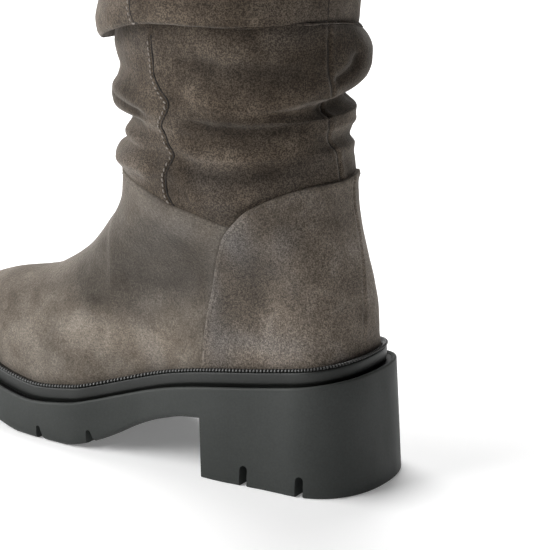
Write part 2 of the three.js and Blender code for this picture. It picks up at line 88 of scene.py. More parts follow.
# Length of cloth around the shaft, for distances on the unrolled surface
GIRTH = 340.0
FOLD_GAIN = 1.35
LINING_INSET = OVERLAY + WALL + 2.85
# Stitches of the shaft's seam: distance from it, pitch, length, thickness, slant
SEAM_STITCH = (1.35, 2.9, 2.2, 0.42, 0.3)


def smooth(low, high, x):
    t = np.clip((np.asarray(x, float) - low) / (high - low), 0, 1)
    return t * t * (3 - 2 * t)


def lerp(a, b, t):
    return a + (b - a) * t


def bell(x, width):
    return np.exp(-(x / width) ** 2)


def unit(rows):
    return rows / np.linalg.norm(rows, axis=1)[:, None]


def column(rows, key, value):
    """A column of a table as a function of another, by a cubic that never swings past its rows."""
    k = np.array([r[key] for r in rows], float)
    v = np.array([r[value] for r in rows], float)
    h = np.diff(k)
    s = np.diff(v) / h
    m = np.empty_like(v)
    m[0], m[-1] = s[0], s[-1]
    a, b = s[:-1], s[1:]
    flat = a * b <= 0
    m[1:-1] = np.where(flat, 0, 2 * a * b / np.where(flat, 1, a + b))

    def at(x):
        x = np.clip(np.asarray(x, float), k[0], k[-1])
        i = np.clip(np.searchsorted(k, x, side="right") - 1, 0, len(h) - 1)
        t = (x - k[i]) / h[i]
        return (v[i] * (1 + 2 * t) * (1 - t) ** 2 + m[i] * h[i] * t * (1 - t) ** 2
                + v[i + 1] * t * t * (3 - 2 * t) + m[i + 1] * h[i] * t * t * (t - 1))

    return at


# Share of the sole's length, outer half width and inner half width as shares of half the ball width
OUTLINE = [
    (0.0, 0.824, 0.82), (0.116, 0.824, 0.82), (0.29, 0.885, 0.79), (0.42, 0.862, 0.76),
    (0.5, 0.905, 0.82), (0.585, 0.985, 0.93), (0.67, 0.983, 1.0), (0.74, 0.949, 0.99),
    (0.82, 0.86, 0.92), (1.0, 0.76, 0.8),
]
# Share of the length, share of the heel's rise, share of the toe's rise
LIP = [
    (0.0, 1.0, 0), (0.17, 0.78, 0), (0.29, 0.655, 0), (0.37, 0.535, 0), (0.48, 0.295, 0),
    (0.535, 0.172, 0), (0.585, 0.083, 0), (0.68, 0.0, 0), (0.75, 0.0, 0.13), (0.86, 0.0, 0.52),
    (1.0, 0.0, 1.0),
]
# Share of the length, share of the breast's arch, share of the toe spring
UNDER = [
    (0.28, 1.0, 0), (0.34, 0.926, 0), (0.373, 0.835, 0), (0.4, 0.75, 0), (0.44, 0.58, 0),
    (0.48, 0.37, 0), (0.525, 0.17, 0), (0.565, 0.05, 0), (0.6, 0.0, 0), (0.71, 0.0, 0),
    (0.76, 0.0, 0.12), (0.87, 0.0, 0.48), (1.0, 0.0, 1.0),
]
# Reach ahead of the ankle, rise above the toe's feather edge
RIDGE = [
    (0.0, 1.0), (0.008, 0.92), (0.02, 0.85), (0.055, 0.78), (0.102, 0.715), (0.173, 0.617),
    (0.252, 0.534), (0.36, 0.447), (0.44, 0.397), (0.54, 0.362), (0.64, 0.336), (0.74, 0.303),
    (0.83, 0.262), (0.91, 0.198), (0.97, 0.113), (1.0, 0.0),
]
# Rise from the feather edge to the ankle, lean of the back line
BACK = [
    (0.0, 0.06), (0.1, 0.0), (0.24, 0.03), (0.42, 0.25), (0.58, 0.5), (0.76, 0.78), (0.9, 0.95),
    (1.0, 1.0),
]
# Shaft: height at front, side and back, then how far it stands out at front, outer side, back and inner side
FOLDS = [
    (0.0, 0.0, 0.0, 0.0, 0.0, 0.0, 0.0),
    (0.03, 0.03, 0.035, 0.16, 0.05, 0.05, 0.05),
    (0.065, 0.062, 0.07, 0.3, 0.09, 0.0, 0.1),
    (0.1, 0.09, 0.1, 0.17, 0.05, -0.02, 0.03),
    (0.125, 0.118, 0.135, -0.08, -0.03, 0.02, -0.02),
    (0.155, 0.15, 0.165, -0.04, 0.0, -0.05, 0.0),
    (0.188, 0.182, 0.195, -0.18, -0.05, -0.08, -0.03),
    (0.22, 0.215, 0.225, 0.2, 0.03, -0.05, 0.08),
    (0.265, 0.255, 0.255, 0.43, 0.1, 0.02, 0.14),
    (0.3, 0.29, 0.285, 0.37, 0.08, -0.22, 0.02),
    (0.335, 0.325, 0.315, 0.2, 0.0, -0.02, 0.12),
    (0.365, 0.37, 0.36, 0.14, -0.05, 0.3, 0.3),
    (0.4, 0.425, 0.41, 0.24, -0.05, 0.42, 0.42),
    (0.435, 0.485, 0.46, 0.3, 0.0, 0.44, 0.4),
    (0.468, 0.55, 0.525, 0.28, 0.02, 0.3, 0.28),
    (0.478, 0.588, 0.572, 0.3, 0.04, 0.1, 0.1),
    (0.446, 0.58, 0.578, 0.4, 0.12, 0.02, 0.14),
    (0.422, 0.556, 0.572, 0.55, 0.28, 0.0, 0.24),
    (0.445, 0.57, 0.584, 0.7, 0.42, 0.05, 0.32),
    (0.5, 0.612, 0.622, 0.76, 0.46, 0.07, 0.36),
    (0.568, 0.66, 0.67, 0.68, 0.38, 0.06, 0.32),
    (0.64, 0.705, 0.715, 0.56, 0.24, 0.06, 0.2),
    (0.7, 0.745, 0.75, 0.52, 0.22, 0.12, 0.2),
    (0.76, 0.785, 0.785, 0.66, 0.28, 0.3, 0.3),
    (0.82, 0.83, 0.83, 0.52, 0.24, 0.3, 0.26),
    (0.875, 0.88, 0.88, 0.36, 0.18, 0.16, 0.2),
    (0.94, 0.94, 0.94, 0.32, 0.16, 0.12, 0.16),
    (1.0, 1.0, 1.0, 0.32, 0.16, 0.12, 0.16),
]

outer_share = column(OUTLINE, 0, 1)
inner_share = column(OUTLINE, 0, 2)
lip_heel = column(LIP, 0, 1)
lip_toe = column(LIP, 0, 2)
under_arch = column(UNDER, 0, 1)
under_toe = column(UNDER, 0, 2)
ridge_rise = column(RIDGE, 0, 1)
back_lean = column(BACK, 0, 1)
fold = [column([(i,) + row for i, row in enumerate(FOLDS)], 0, c + 1) for c in range(7)]


def lip_height(f):
    s = np.asarray(f, float) / SOLE_LENGTH
    return PLATFORM + (HEEL_HEIGHT - PLATFORM) * lip_heel(s) + TOE_RISE * lip_toe(s)


def under_height(f):
    s = np.asarray(f, float) / SOLE_LENGTH
    return BREAST_ARCH * under_arch(s) + TOE_SPRING * under_toe(s)


def feather_height(f):
    return lip_height(f) + FEATHER


def outline_at(side, f):
    table = outer_share if side < 0 else inner_share
    share = table(f / SOLE_LENGTH)
    heel = smooth(HEEL_BLOCK, HEEL_CAP, f)
    half = lerp(share * BALL_WIDTH / 2, share / table(0.0) * HEEL_WIDTH / 2, heel)
    back = np.clip(1 - f / HEEL_CAP, 0, 1)
    toe = np.clip((f - SOLE_LENGTH + TOE_CAP) / TOE_CAP, 0, 1)
    cap = (1 - back ** 2.3) ** (1 / 2.3) * np.sqrt(1 - toe ** 2)
    return side * half * cap + TOE_SHIFT * smooth(0.55 * SOLE_LENGTH, SOLE_LENGTH, f)


def stations(steps):
    f = SOLE_LENGTH * (1 - np.cos(np.pi * np.arange(steps + 1) / steps)) / 2
    near = (np.abs(f - HEEL_BLOCK) < 1.2) | (np.abs(f - HEEL_BLOCK - BREAST_SLANT) < 1.2)
    return np.sort(np.r_[f[~near], HEEL_BLOCK, HEEL_BLOCK + BREAST_SLANT])


def outline(f):
    """The lip's closed outline as rows of f, y: outer side to the toe, then inner side back."""
    outer = np.c_[f, outline_at(-1, f)]
    inner = np.c_[f, outline_at(1, f)][-2:0:-1]
    return np.r_[outer, inner]


def inset(loop, distance):
    a, b = np.roll(loop, 1, axis=0), np.roll(loop, -1, axis=0)
    run = unit(b - a)
    d = np.broadcast_to(distance, len(loop))
    return np.c_[loop[:, 0] - run[:, 1] * d, loop[:, 1] + run[:, 0] * d]


def arc(line):
    """Distance along a line up to each of its points."""
    return np.r_[0, np.cumsum(np.linalg.norm(np.diff(line, axis=0), axis=1))]


def even(loop, count):
    """The loop resampled at equal steps along its length."""
    closed = np.r_[loop, loop[:1]]
    run = arc(closed)
    at = np.linspace(0, run[-1], count, endpoint=False)
    return np.c_[np.interp(at, run, closed[:, 0]), np.interp(at, run, closed[:, 1])]


def lift(loop, z):
    return np.c_[-loop[:, 0], loop[:, 1], np.broadcast_to(z, len(loop))]


# Mesh building, in millimetres from the heel's lip
def placed(name, data):
    obj = bpy.data.objects.new(name, data)
    bpy.context.scene.collection.objects.link(obj)
    return obj


def metres(verts):
    return ((np.asarray(verts, float) + HEEL) * 0.001).tolist()


def new_object(name, verts, faces, slot, *nodes, angle=None):
    mesh = bpy.data.meshes.new(name)
    mesh.from_pydata(metres(verts), [], [list(map(int, f)) for f in faces])
    mesh.validate()
    mesh.update()
    mesh.polygons.foreach_set("use_smooth", [True] * len(mesh.polygons))
    if angle:
        mesh.set_sharp_from_angle(angle=math.radians(angle))
    obj = placed(name, mesh)
    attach(obj, "root")
    if nodes:
        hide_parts(*nodes)
    return obj


def attribute(obj, name, values):
    layer = obj.data.attributes.new(name, "FLOAT", "POINT")
    layer.data.foreach_set("value", np.asarray(values, np.float32))


def ring_faces(rings, n, closed=False):
    k = np.arange(rings if closed else rings - 1)[:, None]
    i = np.arange(n)[None, :]
    a = k * n + i
    b = k * n + (i + 1) % n
    up = ((k + 1) % rings) * n
    return np.stack([a, up + i, up + (i + 1) % n, b], -1).reshape(-1, 4)


def cap_faces(base, n, top):
    """Strips across a loop whose points i and n - i face each other."""
    out = []
    for i in range(n // 2):
        a, b, c, d = i, i + 1, (n - i) % n, n - i - 1
        quad = [a, b, d, c]
        quad = [q for j, q in enumerate(quad) if q not in quad[:j]]
        if len(quad) > 2:
            out.append([base + q for q in (quad[::-1] if top else quad)])
    return out


def stack(name, loops, slot, *nodes, angle=None):
    n = len(loops[0])
    faces = list(ring_faces(len(loops), n))
    faces += cap_faces(0, n, False) + cap_faces((len(loops) - 1) * n, n, True)
    return new_object(name, np.concatenate(loops), faces, slot, *nodes, angle=angle)


# The upper's surface
fine = np.linspace(0, np.pi, 321)
feather_loop = inset(outline(SOLE_LENGTH * (1 - np.cos(fine)) / 2), LEDGE + SHELF)
count = len(fine)
outer_edge = feather_loop[:count][np.argsort(feather_loop[:count, 0])]
inner_part = np.r_[feather_loop[:1], feather_loop[count - 1:]]
inner_edge = inner_part[np.argsort(inner_part[:, 0])]
feather_back = outer_edge[0, 0]
toe_tip = outer_edge[-1, 0]
toe_feather = float(feather_height(toe_tip))
instep_scale = (INSTEP - toe_feather) / (0.617 * (ANKLE - toe_feather))


def ridge_height(f):
    rise = ridge_rise((np.asarray(f, float) - ANKLE_FRONT) / (toe_tip - ANKLE_FRONT))
    scale = lerp(instep_scale, 1, smooth(0.617, 1, rise))
    return toe_feather + rise * scale * (ANKLE - toe_feather)


turn = 2 * np.pi * np.arange(AROUND) / AROUND
side_sign = np.where(np.arange(AROUND) <= AROUND // 2, -1.0, 1.0)
on_middle = np.arange(AROUND) % (AROUND // 2) == 0
signed_turn = np.where(turn > np.pi, turn - 2 * np.pi, turn)
tube = (1 - np.abs(np.cos(turn)) ** 2.2) ** (1 / 2.2)


def foot_ring(level, front):
    back = lerp(feather_back, HEEL_BULGE + (ANKLE_BACK - HEEL_BULGE) * back_lean(level),
                smooth(0, 0.1, level))
    settle = smooth(0.42, 1, level)
    f = back + (1 - np.cos(turn)) / 2 * (front - back)
    z = lerp(feather_height(f), ANKLE, level)
    plan = f - (back - feather_back) * (1 - smooth(back, back + ANKLE_DEPTH, f))
    outer = np.interp(plan, outer_edge[:, 0], outer_edge[:, 1])
    inner = np.interp(plan, inner_edge[:, 0], inner_edge[:, 1])
    top = np.where(f < ANKLE_FRONT, ANKLE + (ANKLE_FRONT - f) * 2.4, ridge_height(f))
    up = np.clip((z - feather_height(f)) / np.maximum(0.1, top - feather_height(f)), 0, 1)
    power = lerp(1.8, 2.7, smooth(ANKLE_FRONT, toe_tip, f))
    swell = 1 + 0.05 * np.sin(np.pi * np.minimum(1, up / 0.7)) ** 2
    dome = np.sqrt(1 - up ** power) * swell
    half = lerp((inner - outer) / 2 * dome, ANKLE_WIDTH / 2 * tube, settle)
    middle = (inner + outer) / 2 * (1 - 0.7 * level)
    return np.c_[-f, middle + side_sign * np.where(on_middle, 0, half), z]


def foot_rings(count):
    f = lerp(toe_tip, ANKLE_FRONT, np.linspace(0, 1, 3000) ** 1.6)
    z = ridge_height(f)
    z[0] = toe_feather
    run = np.r_[0, np.cumsum(np.hypot(np.diff(f), np.diff(z)))]
    at = np.linspace(0, run[-1], count + 1)
    front, height = np.interp(at, run, f), np.interp(at, run, z)
    low = feather_height(front)
    level = np.clip((height - low) / (ANKLE - low), 0, 1)
    level[-1] = 1
    return [foot_ring(v, g) for v, g in zip(level, front)]


def shaft_ring(place):
    row = place * (len(FOLDS) - 1)
    front, side, back, out_front, out_side, out_back, out_inner = [float(c(row)) for c in fold]
    end = np.cos(turn) ** 2
    ahead = np.cos(turn) < 0
    # The cloth bags over the inner side of the heel's line, and is drawn in beside the seam
    bag = lerp(lerp(0.25, 1, smooth(0.3, -0.35, signed_turn)), 1, smooth(13.5, 15.5, row))
    out_back = np.where(out_back > 0, bag, 1) * out_back
    out = SLOUCH * (end * np.where(ahead, out_front, out_back)
                    + (1 - end) * np.where(side_sign < 0, out_side, out_inner))
    share = end * np.where(ahead, front, back) + (1 - end) * side
    beside_seam = np.exp(-((np.degrees(signed_turn) + 38) / 30) ** 2)
    share = share - 0.07 * beside_seam * math.exp(-((row - 16) / 2.6) ** 2)
    f = ANKLE_MID - (ANKLE_DEPTH / 2 + out) * np.cos(turn)
    y = side_sign * (ANKLE_WIDTH / 2 + out) * np.where(on_middle, 0, tube)
    return np.c_[-f, y, ANKLE + share * SHAFT]


whole = np.array(foot_rings(FOOT_RINGS)
                 + [shaft_ring(k / SHAFT_RINGS) for k in range(1, SHAFT_RINGS + 1)])
ring_total = len(whole)


def blur(grid, passes, rings=None):
    """Evens the grid out, so that the change from foot to shaft has no edge."""
    out = grid.copy()
    rings = slice(1, -1) if rings is None else rings
    for _ in range(passes):
        around = (np.roll(out, 1, axis=1) + np.roll(out, -1, axis=1)) / 2
        up = out.copy()
        up[1:-1] = (out[2:] + out[:-2]) / 2
        mixed = 0.5 * out + 0.25 * around + 0.25 * up
        out[rings] = mixed[rings]
    return out


def normals(grid):
    around = np.roll(grid, -1, axis=1) - np.roll(grid, 1, axis=1)
    up = np.empty_like(grid)
    up[1:-1] = grid[2:] - grid[:-2]
    up[0], up[-1] = grid[1] - grid[0], grid[-1] - grid[-2]
    n = np.cross(up, around)
    return n / np.maximum(np.linalg.norm(n, axis=2), 1e-9)[..., None]


whole = blur(blur(whole, 10, slice(3, FOOT_RINGS + 14)), 10, slice(FOOT_RINGS - 24, FOOT_RINGS + 14))


# Side-view curves
def curve(points, steps=14):
    """A smooth line through points, sampled closely."""
    p = np.array(points, float)
    p = np.r_[[2 * p[0] - p[1]], p, [2 * p[-1] - p[-2]]]
    out = []
    for i in range(1, len(p) - 2):
        t = np.linspace(0, 1, steps, endpoint=False)[:, None]
        a, b, c, d = p[i - 1], p[i], p[i + 1], p[i + 2]
        out.append(0.5 * (2 * b + (c - a) * t + (2 * a - 5 * b + 4 * c - d) * t ** 2
                          + (3 * b - a - 3 * c + d) * t ** 3))
    return np.r_[np.concatenate(out), p[-2:-1]]


def distance(points, line):
    """Distance of each point from a line, and how far along the line its nearest point is."""
    best = np.full(len(points), 1e9)
    where = np.zeros(len(points))
    run = arc(line)
    for i in range(len(line) - 1):
        a, d = line[i], line[i + 1] - line[i]
        length = np.linalg.norm(d)
        t = np.clip((points - a) @ d / max(length ** 2, 1e-9), 0, 1)
        gap = np.linalg.norm(points - a - t[:, None] * d, axis=1)
        near = gap < best
        best[near] = gap[near]
        where[near] = run[i] + t[near] * length
    return best, where, run[-1]


def inside(points, polygon):
    x, y = points[:, 0], points[:, 1]
    hit = np.zeros(len(points), bool)
    for (x0, y0), (x1, y1) in zip(polygon, np.roll(polygon, -1, axis=0)):
        cross = (y0 > y) != (y1 > y)
        hit ^= cross & (x < (x1 - x0) * (y - y0) / ((y1 - y0) or 1e-9) + x0)
    return hit


counter_base = float(feather_height(COUNTER_FRONT))
COUNTER_EDGE = [
    (1.07, -0.1), (1.065, 0.05), (1.05, 0.18), (1.012, 0.35), (0.958, 0.53), (0.906, 0.636), (0.832, 0.755),
    (0.74, 0.842), (0.67, 0.9), (0.583, 0.948), (0.494, 0.985), (0.383, 1.02), (0.3, 1.03), (0.2, 0.985),
    (0.145, 0.915), (0.1, 0.9),
]
counter_line = curve([(r * COUNTER_FRONT, counter_base + s * (COUNTER_TOP - counter_base))
                      for r, s in COUNTER_EDGE])
VAMP_EDGE = [
    (0.3, 0.868), (0.4, 0.889), (0.5, 0.916), (0.56, 0.933), (0.64, 0.951), (0.7, 0.968), (0.79, 0.991),
    (0.9, 1.007), (1.08, 1.02),
]
vamp_line = curve([(r * ANKLE_FRONT, h * ANKLE) for r, h in VAMP_EDGE])


def signed(points, line, region):
    d, _, _ = distance(points, line)
    return np.where(inside(points, region), d, -d)


# Creases and folds, placed on the unrolled shaft: x is the turn from the back (0) over the outer side (90)
# to the front (180) and the inner side (270), in degrees, and y the height above the floor.
# Each has its points, height in mm (troughs are negative) and half width in mm.
SHAFT_FOLDS = [
    ([(100, 204), (81, 199), (66, 195), (40, 198), (16, 205)], 1.8, 4.6),
    ([(98, 217), (72, 214), (47, 213), (18, 212)], -1.4, 5.0),
    ([(97, 188), (77, 185), (54, 184), (14, 189)], -1.7, 3.8),
    ([(98, 178), (80, 170), (48, 173), (14, 181)], 1.7, 4.4),
    ([(96, 163), (68, 161), (33, 166)], -1.3, 3.8),
    ([(96, 151), (70, 149), (44, 154)], 1.0, 4.0),
    ([(160, 191), (136, 190), (111, 186)], -1.7, 2.6),
    ([(160, 180), (136, 181), (114, 182)], -1.3, 2.4),
    ([(158, 170), (136, 172), (112, 170)], 0.8, 3.0),
    ([(150, 158), (130, 160), (108, 158)], 1.1, 3.6),
    ([(22, 193), (4, 194), (-16, 196), (-44, 192)], -2.2, 2.8),
    ([(10, 205), (-2, 213), (-4, 222)], -1.6, 3.2),
    ([(16, 183), (-4, 184), (-34, 182)], 1.2, 3.0),
    ([(14, 175), (-8, 176), (-46, 172)], -1.3, 2.8),
    ([(-60, 208), (-84, 200), (-112, 202)], 1.5, 4.6),
    ([(-58, 190), (-86, 186), (-120, 190)], -1.7, 4.0),
    ([(-52, 180), (-84, 174), (-116, 178)], 1.4, 4.2),
    ([(-48, 160), (-80, 163), (-110, 160)], -1.1, 4.0),
    ([(-50, 218), (-80, 215), (-106, 217)], -1.3, 5.0),
]


def unrolled(path, steps=14):
    return curve([(a * GIRTH / 360, z) for a, z in path], steps)


def lines_field(turn_deg, height, rows):
    """Sum of soft ridges and troughs on the unrolled surface."""
    total = np.zeros(turn_deg.size)
    for path, amount, width in rows:
        middle = path[len(path) // 2][0]
        near_turn = (turn_deg.ravel() - middle + 180) % 360 - 180 + middle
        points = np.c_[near_turn * GIRTH / 360, height.ravel()]
        line = unrolled(path)
        low, high = line.min(axis=0) - 4 * width, line.max(axis=0) + 4 * width
        near = ((points >= low) & (points <= high)).all(axis=1)
        if not near.any():
            continue
        d, along, length = distance(points[near], line)
        ends = smooth(0, 0.22 * length, along) * smooth(length, 0.78 * length, along)
        total[near] += amount * bell(d, width) * (0.15 + 0.85 * ends)
    return total.reshape(turn_deg.shape)


def waves(p, size, seeds):
    """A gentle unevenness from crossed sine waves, the same each time."""
    out = np.zeros(p.shape[:-1])
    for i in range(seeds, seeds + 7):
        a = np.array([math.sin(i * 12.9), math.sin(i * 4.1 + 1), math.sin(i * 7.7 + 2)])
        a = a / np.linalg.norm(a) * 2 * np.pi / (size * (0.7 + 0.1 * (i % 7)))
        out += np.sin(p @ a + i * 1.7)
    return out / 7


turns_deg = np.broadcast_to(np.degrees(turn), (ring_total, AROUND))

# Shaft outside, its surface a little within the vamp's and the counter's
skin = whole - normals(whole) * (OVERLAY * 0.9)
shaft_share = smooth(FOOT_RINGS - 40, FOOT_RINGS + 6, np.arange(ring_total))[:, None]
# Where the cloth turns under the big fold, the ridges fade out
fold_row = np.clip((np.arange(ring_total) - FOOT_RINGS) / SHAFT_RINGS, 0, 1) * (len(FOLDS) - 1)
under_fold = (1 - smooth(13.2, 14.6, fold_row))[:, None]
relief = lines_field(turns_deg, skin[..., 2], SHAFT_FOLDS) * under_fold * shaft_share
relief = FOLD_GAIN * relief + (0.6 * waves(skin, 34, 3) + 0.26 * waves(skin, 15, 11)) * shaft_share
# Under the vamp and the counter the cloth lies flat: height of their upper edge along the boot
SEAM_LINE = [
    (20, 158), (31, 158), (40, 155), (48, 150), (56, 143), (60, 136), (70, 137), (83, 140), (94, 142.5),
    (104, 145.5), (117, 149), (134, 151), (150, 153),
]
edge_height = np.interp(-skin[..., 0], *np.array(SEAM_LINE).T)
relief = relief * smooth(0, 4, skin[..., 2] - edge_height)
skin = skin + normals(blur(skin, 4)) * relief[..., None]


# Materials
def nodes_of(name):
    mat = bpy.data.materials.new(name)
    mat.use_nodes = True
    tree = mat.node_tree
    tree.nodes.clear()
    out = tree.nodes.new("ShaderNodeOutputMaterial")
    bsdf = tree.nodes.new("ShaderNodeBsdfPrincipled")
    tree.links.new(bsdf.outputs[0], out.inputs[0])
    return mat, tree, bsdf


def noise(tree, scale, detail=2.0, rough=0.5, stretch=None, seed=0.0):
    coord = tree.nodes.new("ShaderNodeTexCoord")
    mapping = tree.nodes.new("ShaderNodeMapping")
    mapping.inputs["Location"].default_value = (seed, seed * 0.7, seed * 1.3)
    if stretch:
        mapping.inputs["Scale"].default_value = stretch
    tex = tree.nodes.new("ShaderNodeTexNoise")
    tex.inputs["Scale"].default_value = scale
    tex.inputs["Detail"].default_value = detail
    tex.inputs["Roughness"].default_value = rough
    tree.links.new(coord.outputs["Object"], mapping.inputs[0])
    tree.links.new(mapping.outputs[0], tex.inputs["Vector"])
    return tex.outputs["Fac"]


def ramp(tree, value, stops):
    node = tree.nodes.new("ShaderNodeValToRGB")
    node.color_ramp.elements[0].position = stops[0][0]
    node.color_ramp.elements[0].color = (*stops[0][1], 1)
    node.color_ramp.elements[1].position = stops[-1][0]
    node.color_ramp.elements[1].color = (*stops[-1][1], 1)
    for place, colour in stops[1:-1]:
        e = node.color_ramp.elements.new(place)
        e.color = (*colour, 1)
    tree.links.new(value, node.inputs[0])
    return node.outputs[0]


def mix(tree, kind, factor, a, b):
    node = tree.nodes.new("ShaderNodeMix")
    node.data_type = "RGBA"
    node.blend_type = kind
    for key, value in ((0, factor), (6, a), (7, b)):
        if hasattr(value, "links"):
            tree.links.new(value, node.inputs[key])
        elif key == 0:
            node.inputs[0].default_value = value
        else:
            node.inputs[key].default_value = (*value, 1)
    return node.outputs[2]


def maths(tree, operation, a, b):
    node = tree.nodes.new("ShaderNodeMath")
    node.operation = operation
    for key, value in ((0, a), (1, b)):
        if hasattr(value, "links"):
            tree.links.new(value, node.inputs[key])
        else:
            node.inputs[key].default_value = value
    return node.outputs[0]


def weigh(tree, a, share, b, other):
    return maths(tree, "ADD", maths(tree, "MULTIPLY", a, share), maths(tree, "MULTIPLY", b, other))


def mesh_value(tree, name):
    node = tree.nodes.new("ShaderNodeAttribute")
    node.attribute_name = name
    return node.outputs["Fac"]


def bump(tree, bsdf, height, strength, depth):
    node = tree.nodes.new("ShaderNodeBump")
    node.inputs["Strength"].default_value = strength
    node.inputs["Distance"].default_value = depth
    tree.links.new(height, node.inputs["Height"])
    tree.links.new(node.outputs[0], bsdf.inputs["Normal"])


def grey(v):
    return (v, v, v)


def suede(name, dark, mid, light, cool, seed, spread):
    """Brushed suede: soft mottling, a fine nap of light and dark fibres, and painted light and shade, with
    some rub wear, from the mesh's attribute.
    """
    mat, tree, bsdf = nodes_of(name)
    blotch = noise(tree, 28, 3, 0.55, seed=seed)
    cloud = noise(tree, 70, 4, 0.6, seed=seed + 2)
    grain = noise(tree, 1400, 2, 0.7, seed=seed + 4)
    fibre = noise(tree, 620, 2, 0.6, seed=seed + 6)
    base = ramp(tree, weigh(tree, blotch, 0.5, cloud, 0.5), [(0.36, dark), (0.5, mid), (0.64, light)])
    patch = ramp(tree, noise(tree, 22, 2, 0.5, seed=seed + 9), [(0.55, grey(0)), (0.68, grey(1))])
    chill = maths(tree, "ADD", maths(tree, "MULTIPLY", patch, 0.35), mesh_value(tree, "cool"))
    base = mix(tree, "MIX", chill, base, cool)
    # Painted light and shade: the mesh's attribute darkens the suede below 0.5 and lightens it above
    lit = ramp(tree, mesh_value(tree, "tone_and_painted_light"), [(0.0, grey(0.45)), (0.5, grey(1.0)), (1.0, grey(1.55))])
    base = mix(tree, "MULTIPLY", 1.0, base, lit)
    nap = ramp(tree, weigh(tree, grain, 0.75, fibre, 0.25),
               [(0.5 - spread, grey(0.45)), (0.5, grey(0.94)), (0.5 + spread, grey(1.65))])
    base = mix(tree, "MULTIPLY", 1.0, base, nap)
    tree.links.new(base, bsdf.inputs["Base Color"])
    bsdf.inputs["Roughness"].default_value = 0.95
    bsdf.inputs["Specular IOR Level"].default_value = 0.15
    bsdf.inputs["Sheen Weight"].default_value = 0.35
    bsdf.inputs["Sheen Roughness"].default_value = 0.45
    bsdf.inputs["Sheen Tint"].default_value = (0.75, 0.7, 0.64, 1)
    bump(tree, bsdf, maths(tree, "ADD", maths(tree, "MULTIPLY", grain, 0.5), fibre), 0.55, 0.0006)
    return mat


def rubber(name, dark, light, rough, seed, gloss=0.2, tip_glint=None):
    """Moulded rubber: a little uneven in tone and gloss, with a fine pebble, and with a painted glint at its
    tips where one is given.
    """
    mat, tree, bsdf = nodes_of(name)
    cloud = noise(tree, 18, 4, 0.6, seed=seed)
    pebble = noise(tree, 900, 2, 0.6, seed=seed + 3)
    smear = noise(tree, 60, 3, 0.6, (1, 1, 0.4), seed + 5)
    base = ramp(tree, weigh(tree, cloud, 0.6, pebble, 0.4), [(0.36, dark), (0.64, light)])
    # Painted glints: a light colour mixed in where the mesh's attribute marks tooth tips
    if tip_glint:
        base = mix(tree, "MIX", mesh_value(tree, "tip_glint"), base, tip_glint)
    tree.links.new(base, bsdf.inputs["Base Color"])
    tree.links.new(ramp(tree, smear, [(0.3, grey(rough - 0.07)), (0.7, grey(rough + 0.08))]),
                   bsdf.inputs["Roughness"])
    bsdf.inputs["Specular IOR Level"].default_value = gloss
    bump(tree, bsdf, pebble, 0.12, 0.0002)
    return mat


def plain(name, colour, rough, scale):
    mat, tree, bsdf = nodes_of(name)
    grain = noise(tree, scale, 4, 0.6, seed=3)
    tone = ramp(tree, grain, [(0.3, [c * 0.78 for c in colour]), (0.7, [c * 1.15 for c in colour])])
    tree.links.new(tone, bsdf.inputs["Base Color"])
    bsdf.inputs["Roughness"].default_value = rough
    bump(tree, bsdf, grain, 0.3, 0.0004)
    return mat


SHAFT_MAT = suede("shaft_suede", (0.03, 0.0222, 0.0155), (0.048, 0.0368, 0.027), (0.08, 0.064, 0.049),
                  (0.072, 0.062, 0.054), 1.0, 0.082)
VAMP_MAT = suede("vamp_suede", (0.074, 0.06, 0.047), (0.11, 0.093, 0.075), (0.155, 0.135, 0.113),
                 (0.15, 0.136, 0.122), 5.0, 0.21)
COUNTER_MAT = suede("counter_suede", (0.066, 0.054, 0.043), (0.098, 0.081, 0.065), (0.137, 0.118, 0.101),
                    (0.138, 0.127, 0.119), 9.0, 0.125)
SOLE_MAT = rubber("sole_rubber", (0.028, 0.031, 0.029), (0.04, 0.043, 0.041), 0.55, 2.0)
BAND_MAT = rubber("band_rubber", (0.018, 0.019, 0.018), (0.026, 0.028, 0.026), 0.42, 6.0, 0.25)
# The last colour is the painted glint on the welt's teeth
WELT_MAT = rubber("welt_rubber", grey(0.004), grey(0.008), 0.33, 8.0, 0.35, (0.065, 0.065, 0.063))
# Near-black rubber for the strip that paints the groove's shade
GROOVE_SHADE_MAT = rubber("groove_shade_rubber", grey(0.004), grey(0.008), 0.4, 12.0, 0.3)
THREAD_MAT = plain("thread", (0.215, 0.19, 0.165), 0.8, 1500)
DARK_THREAD_MAT = plain("dark_thread", (0.1, 0.086, 0.072), 0.85, 1500)
# Near-black colour of the tubes that paint the seams' shade
SEAM_SHADE_MAT = plain("seam_shade", (0.016, 0.013, 0.011), 0.9, 1500)
LINING_MAT = plain("lining", (0.36, 0.3, 0.24), 0.75, 500)
FOOTBED_MAT = plain("footbed", (0.33, 0.26, 0.19), 0.6, 300)


def paint(obj, mat):
    obj.data.materials.clear()
    obj.data.materials.append(mat)


# Sole unit
loop = outline(stations(170))
station = loop[:, 0]
base_height = np.where(station <= HEEL_BLOCK + 1e-6, 0, under_height(station))
rounding = lerp(TREAD_ROUNDING, HEEL_ROUNDING,
                smooth(HEEL_BLOCK + BREAST_SLANT + 1, HEEL_BLOCK, station))
flare = HEEL_FLARE * smooth(HEEL_BLOCK * 1.5, HEEL_BLOCK * 0.8, station)
sole_loops = []
wall_top = lip_height(station) - LIP_ROUNDING


def spread(height):
    return flare * (1 - height / wall_top)


for step in range(6):
    a = step / 5 * math.pi / 2
    height = base_height + rounding * (1 - math.cos(a))
    sole_loops.append(lift(inset(loop, rounding * (1 - math.sin(a)) - spread(height)), height))
for share in (0.25, 0.5, 0.75):
    height = lerp(base_height + rounding, wall_top, share)
    sole_loops.append(lift(inset(loop, -spread(height)), height))
for step in range(5):
    a = step / 4 * math.pi / 2
    edge = inset(loop, LIP_ROUNDING * (1 - math.cos(a)))
    sole_loops.append(lift(edge, lip_height(edge[:, 0]) - LIP_ROUNDING * (1 - math.sin(a))))
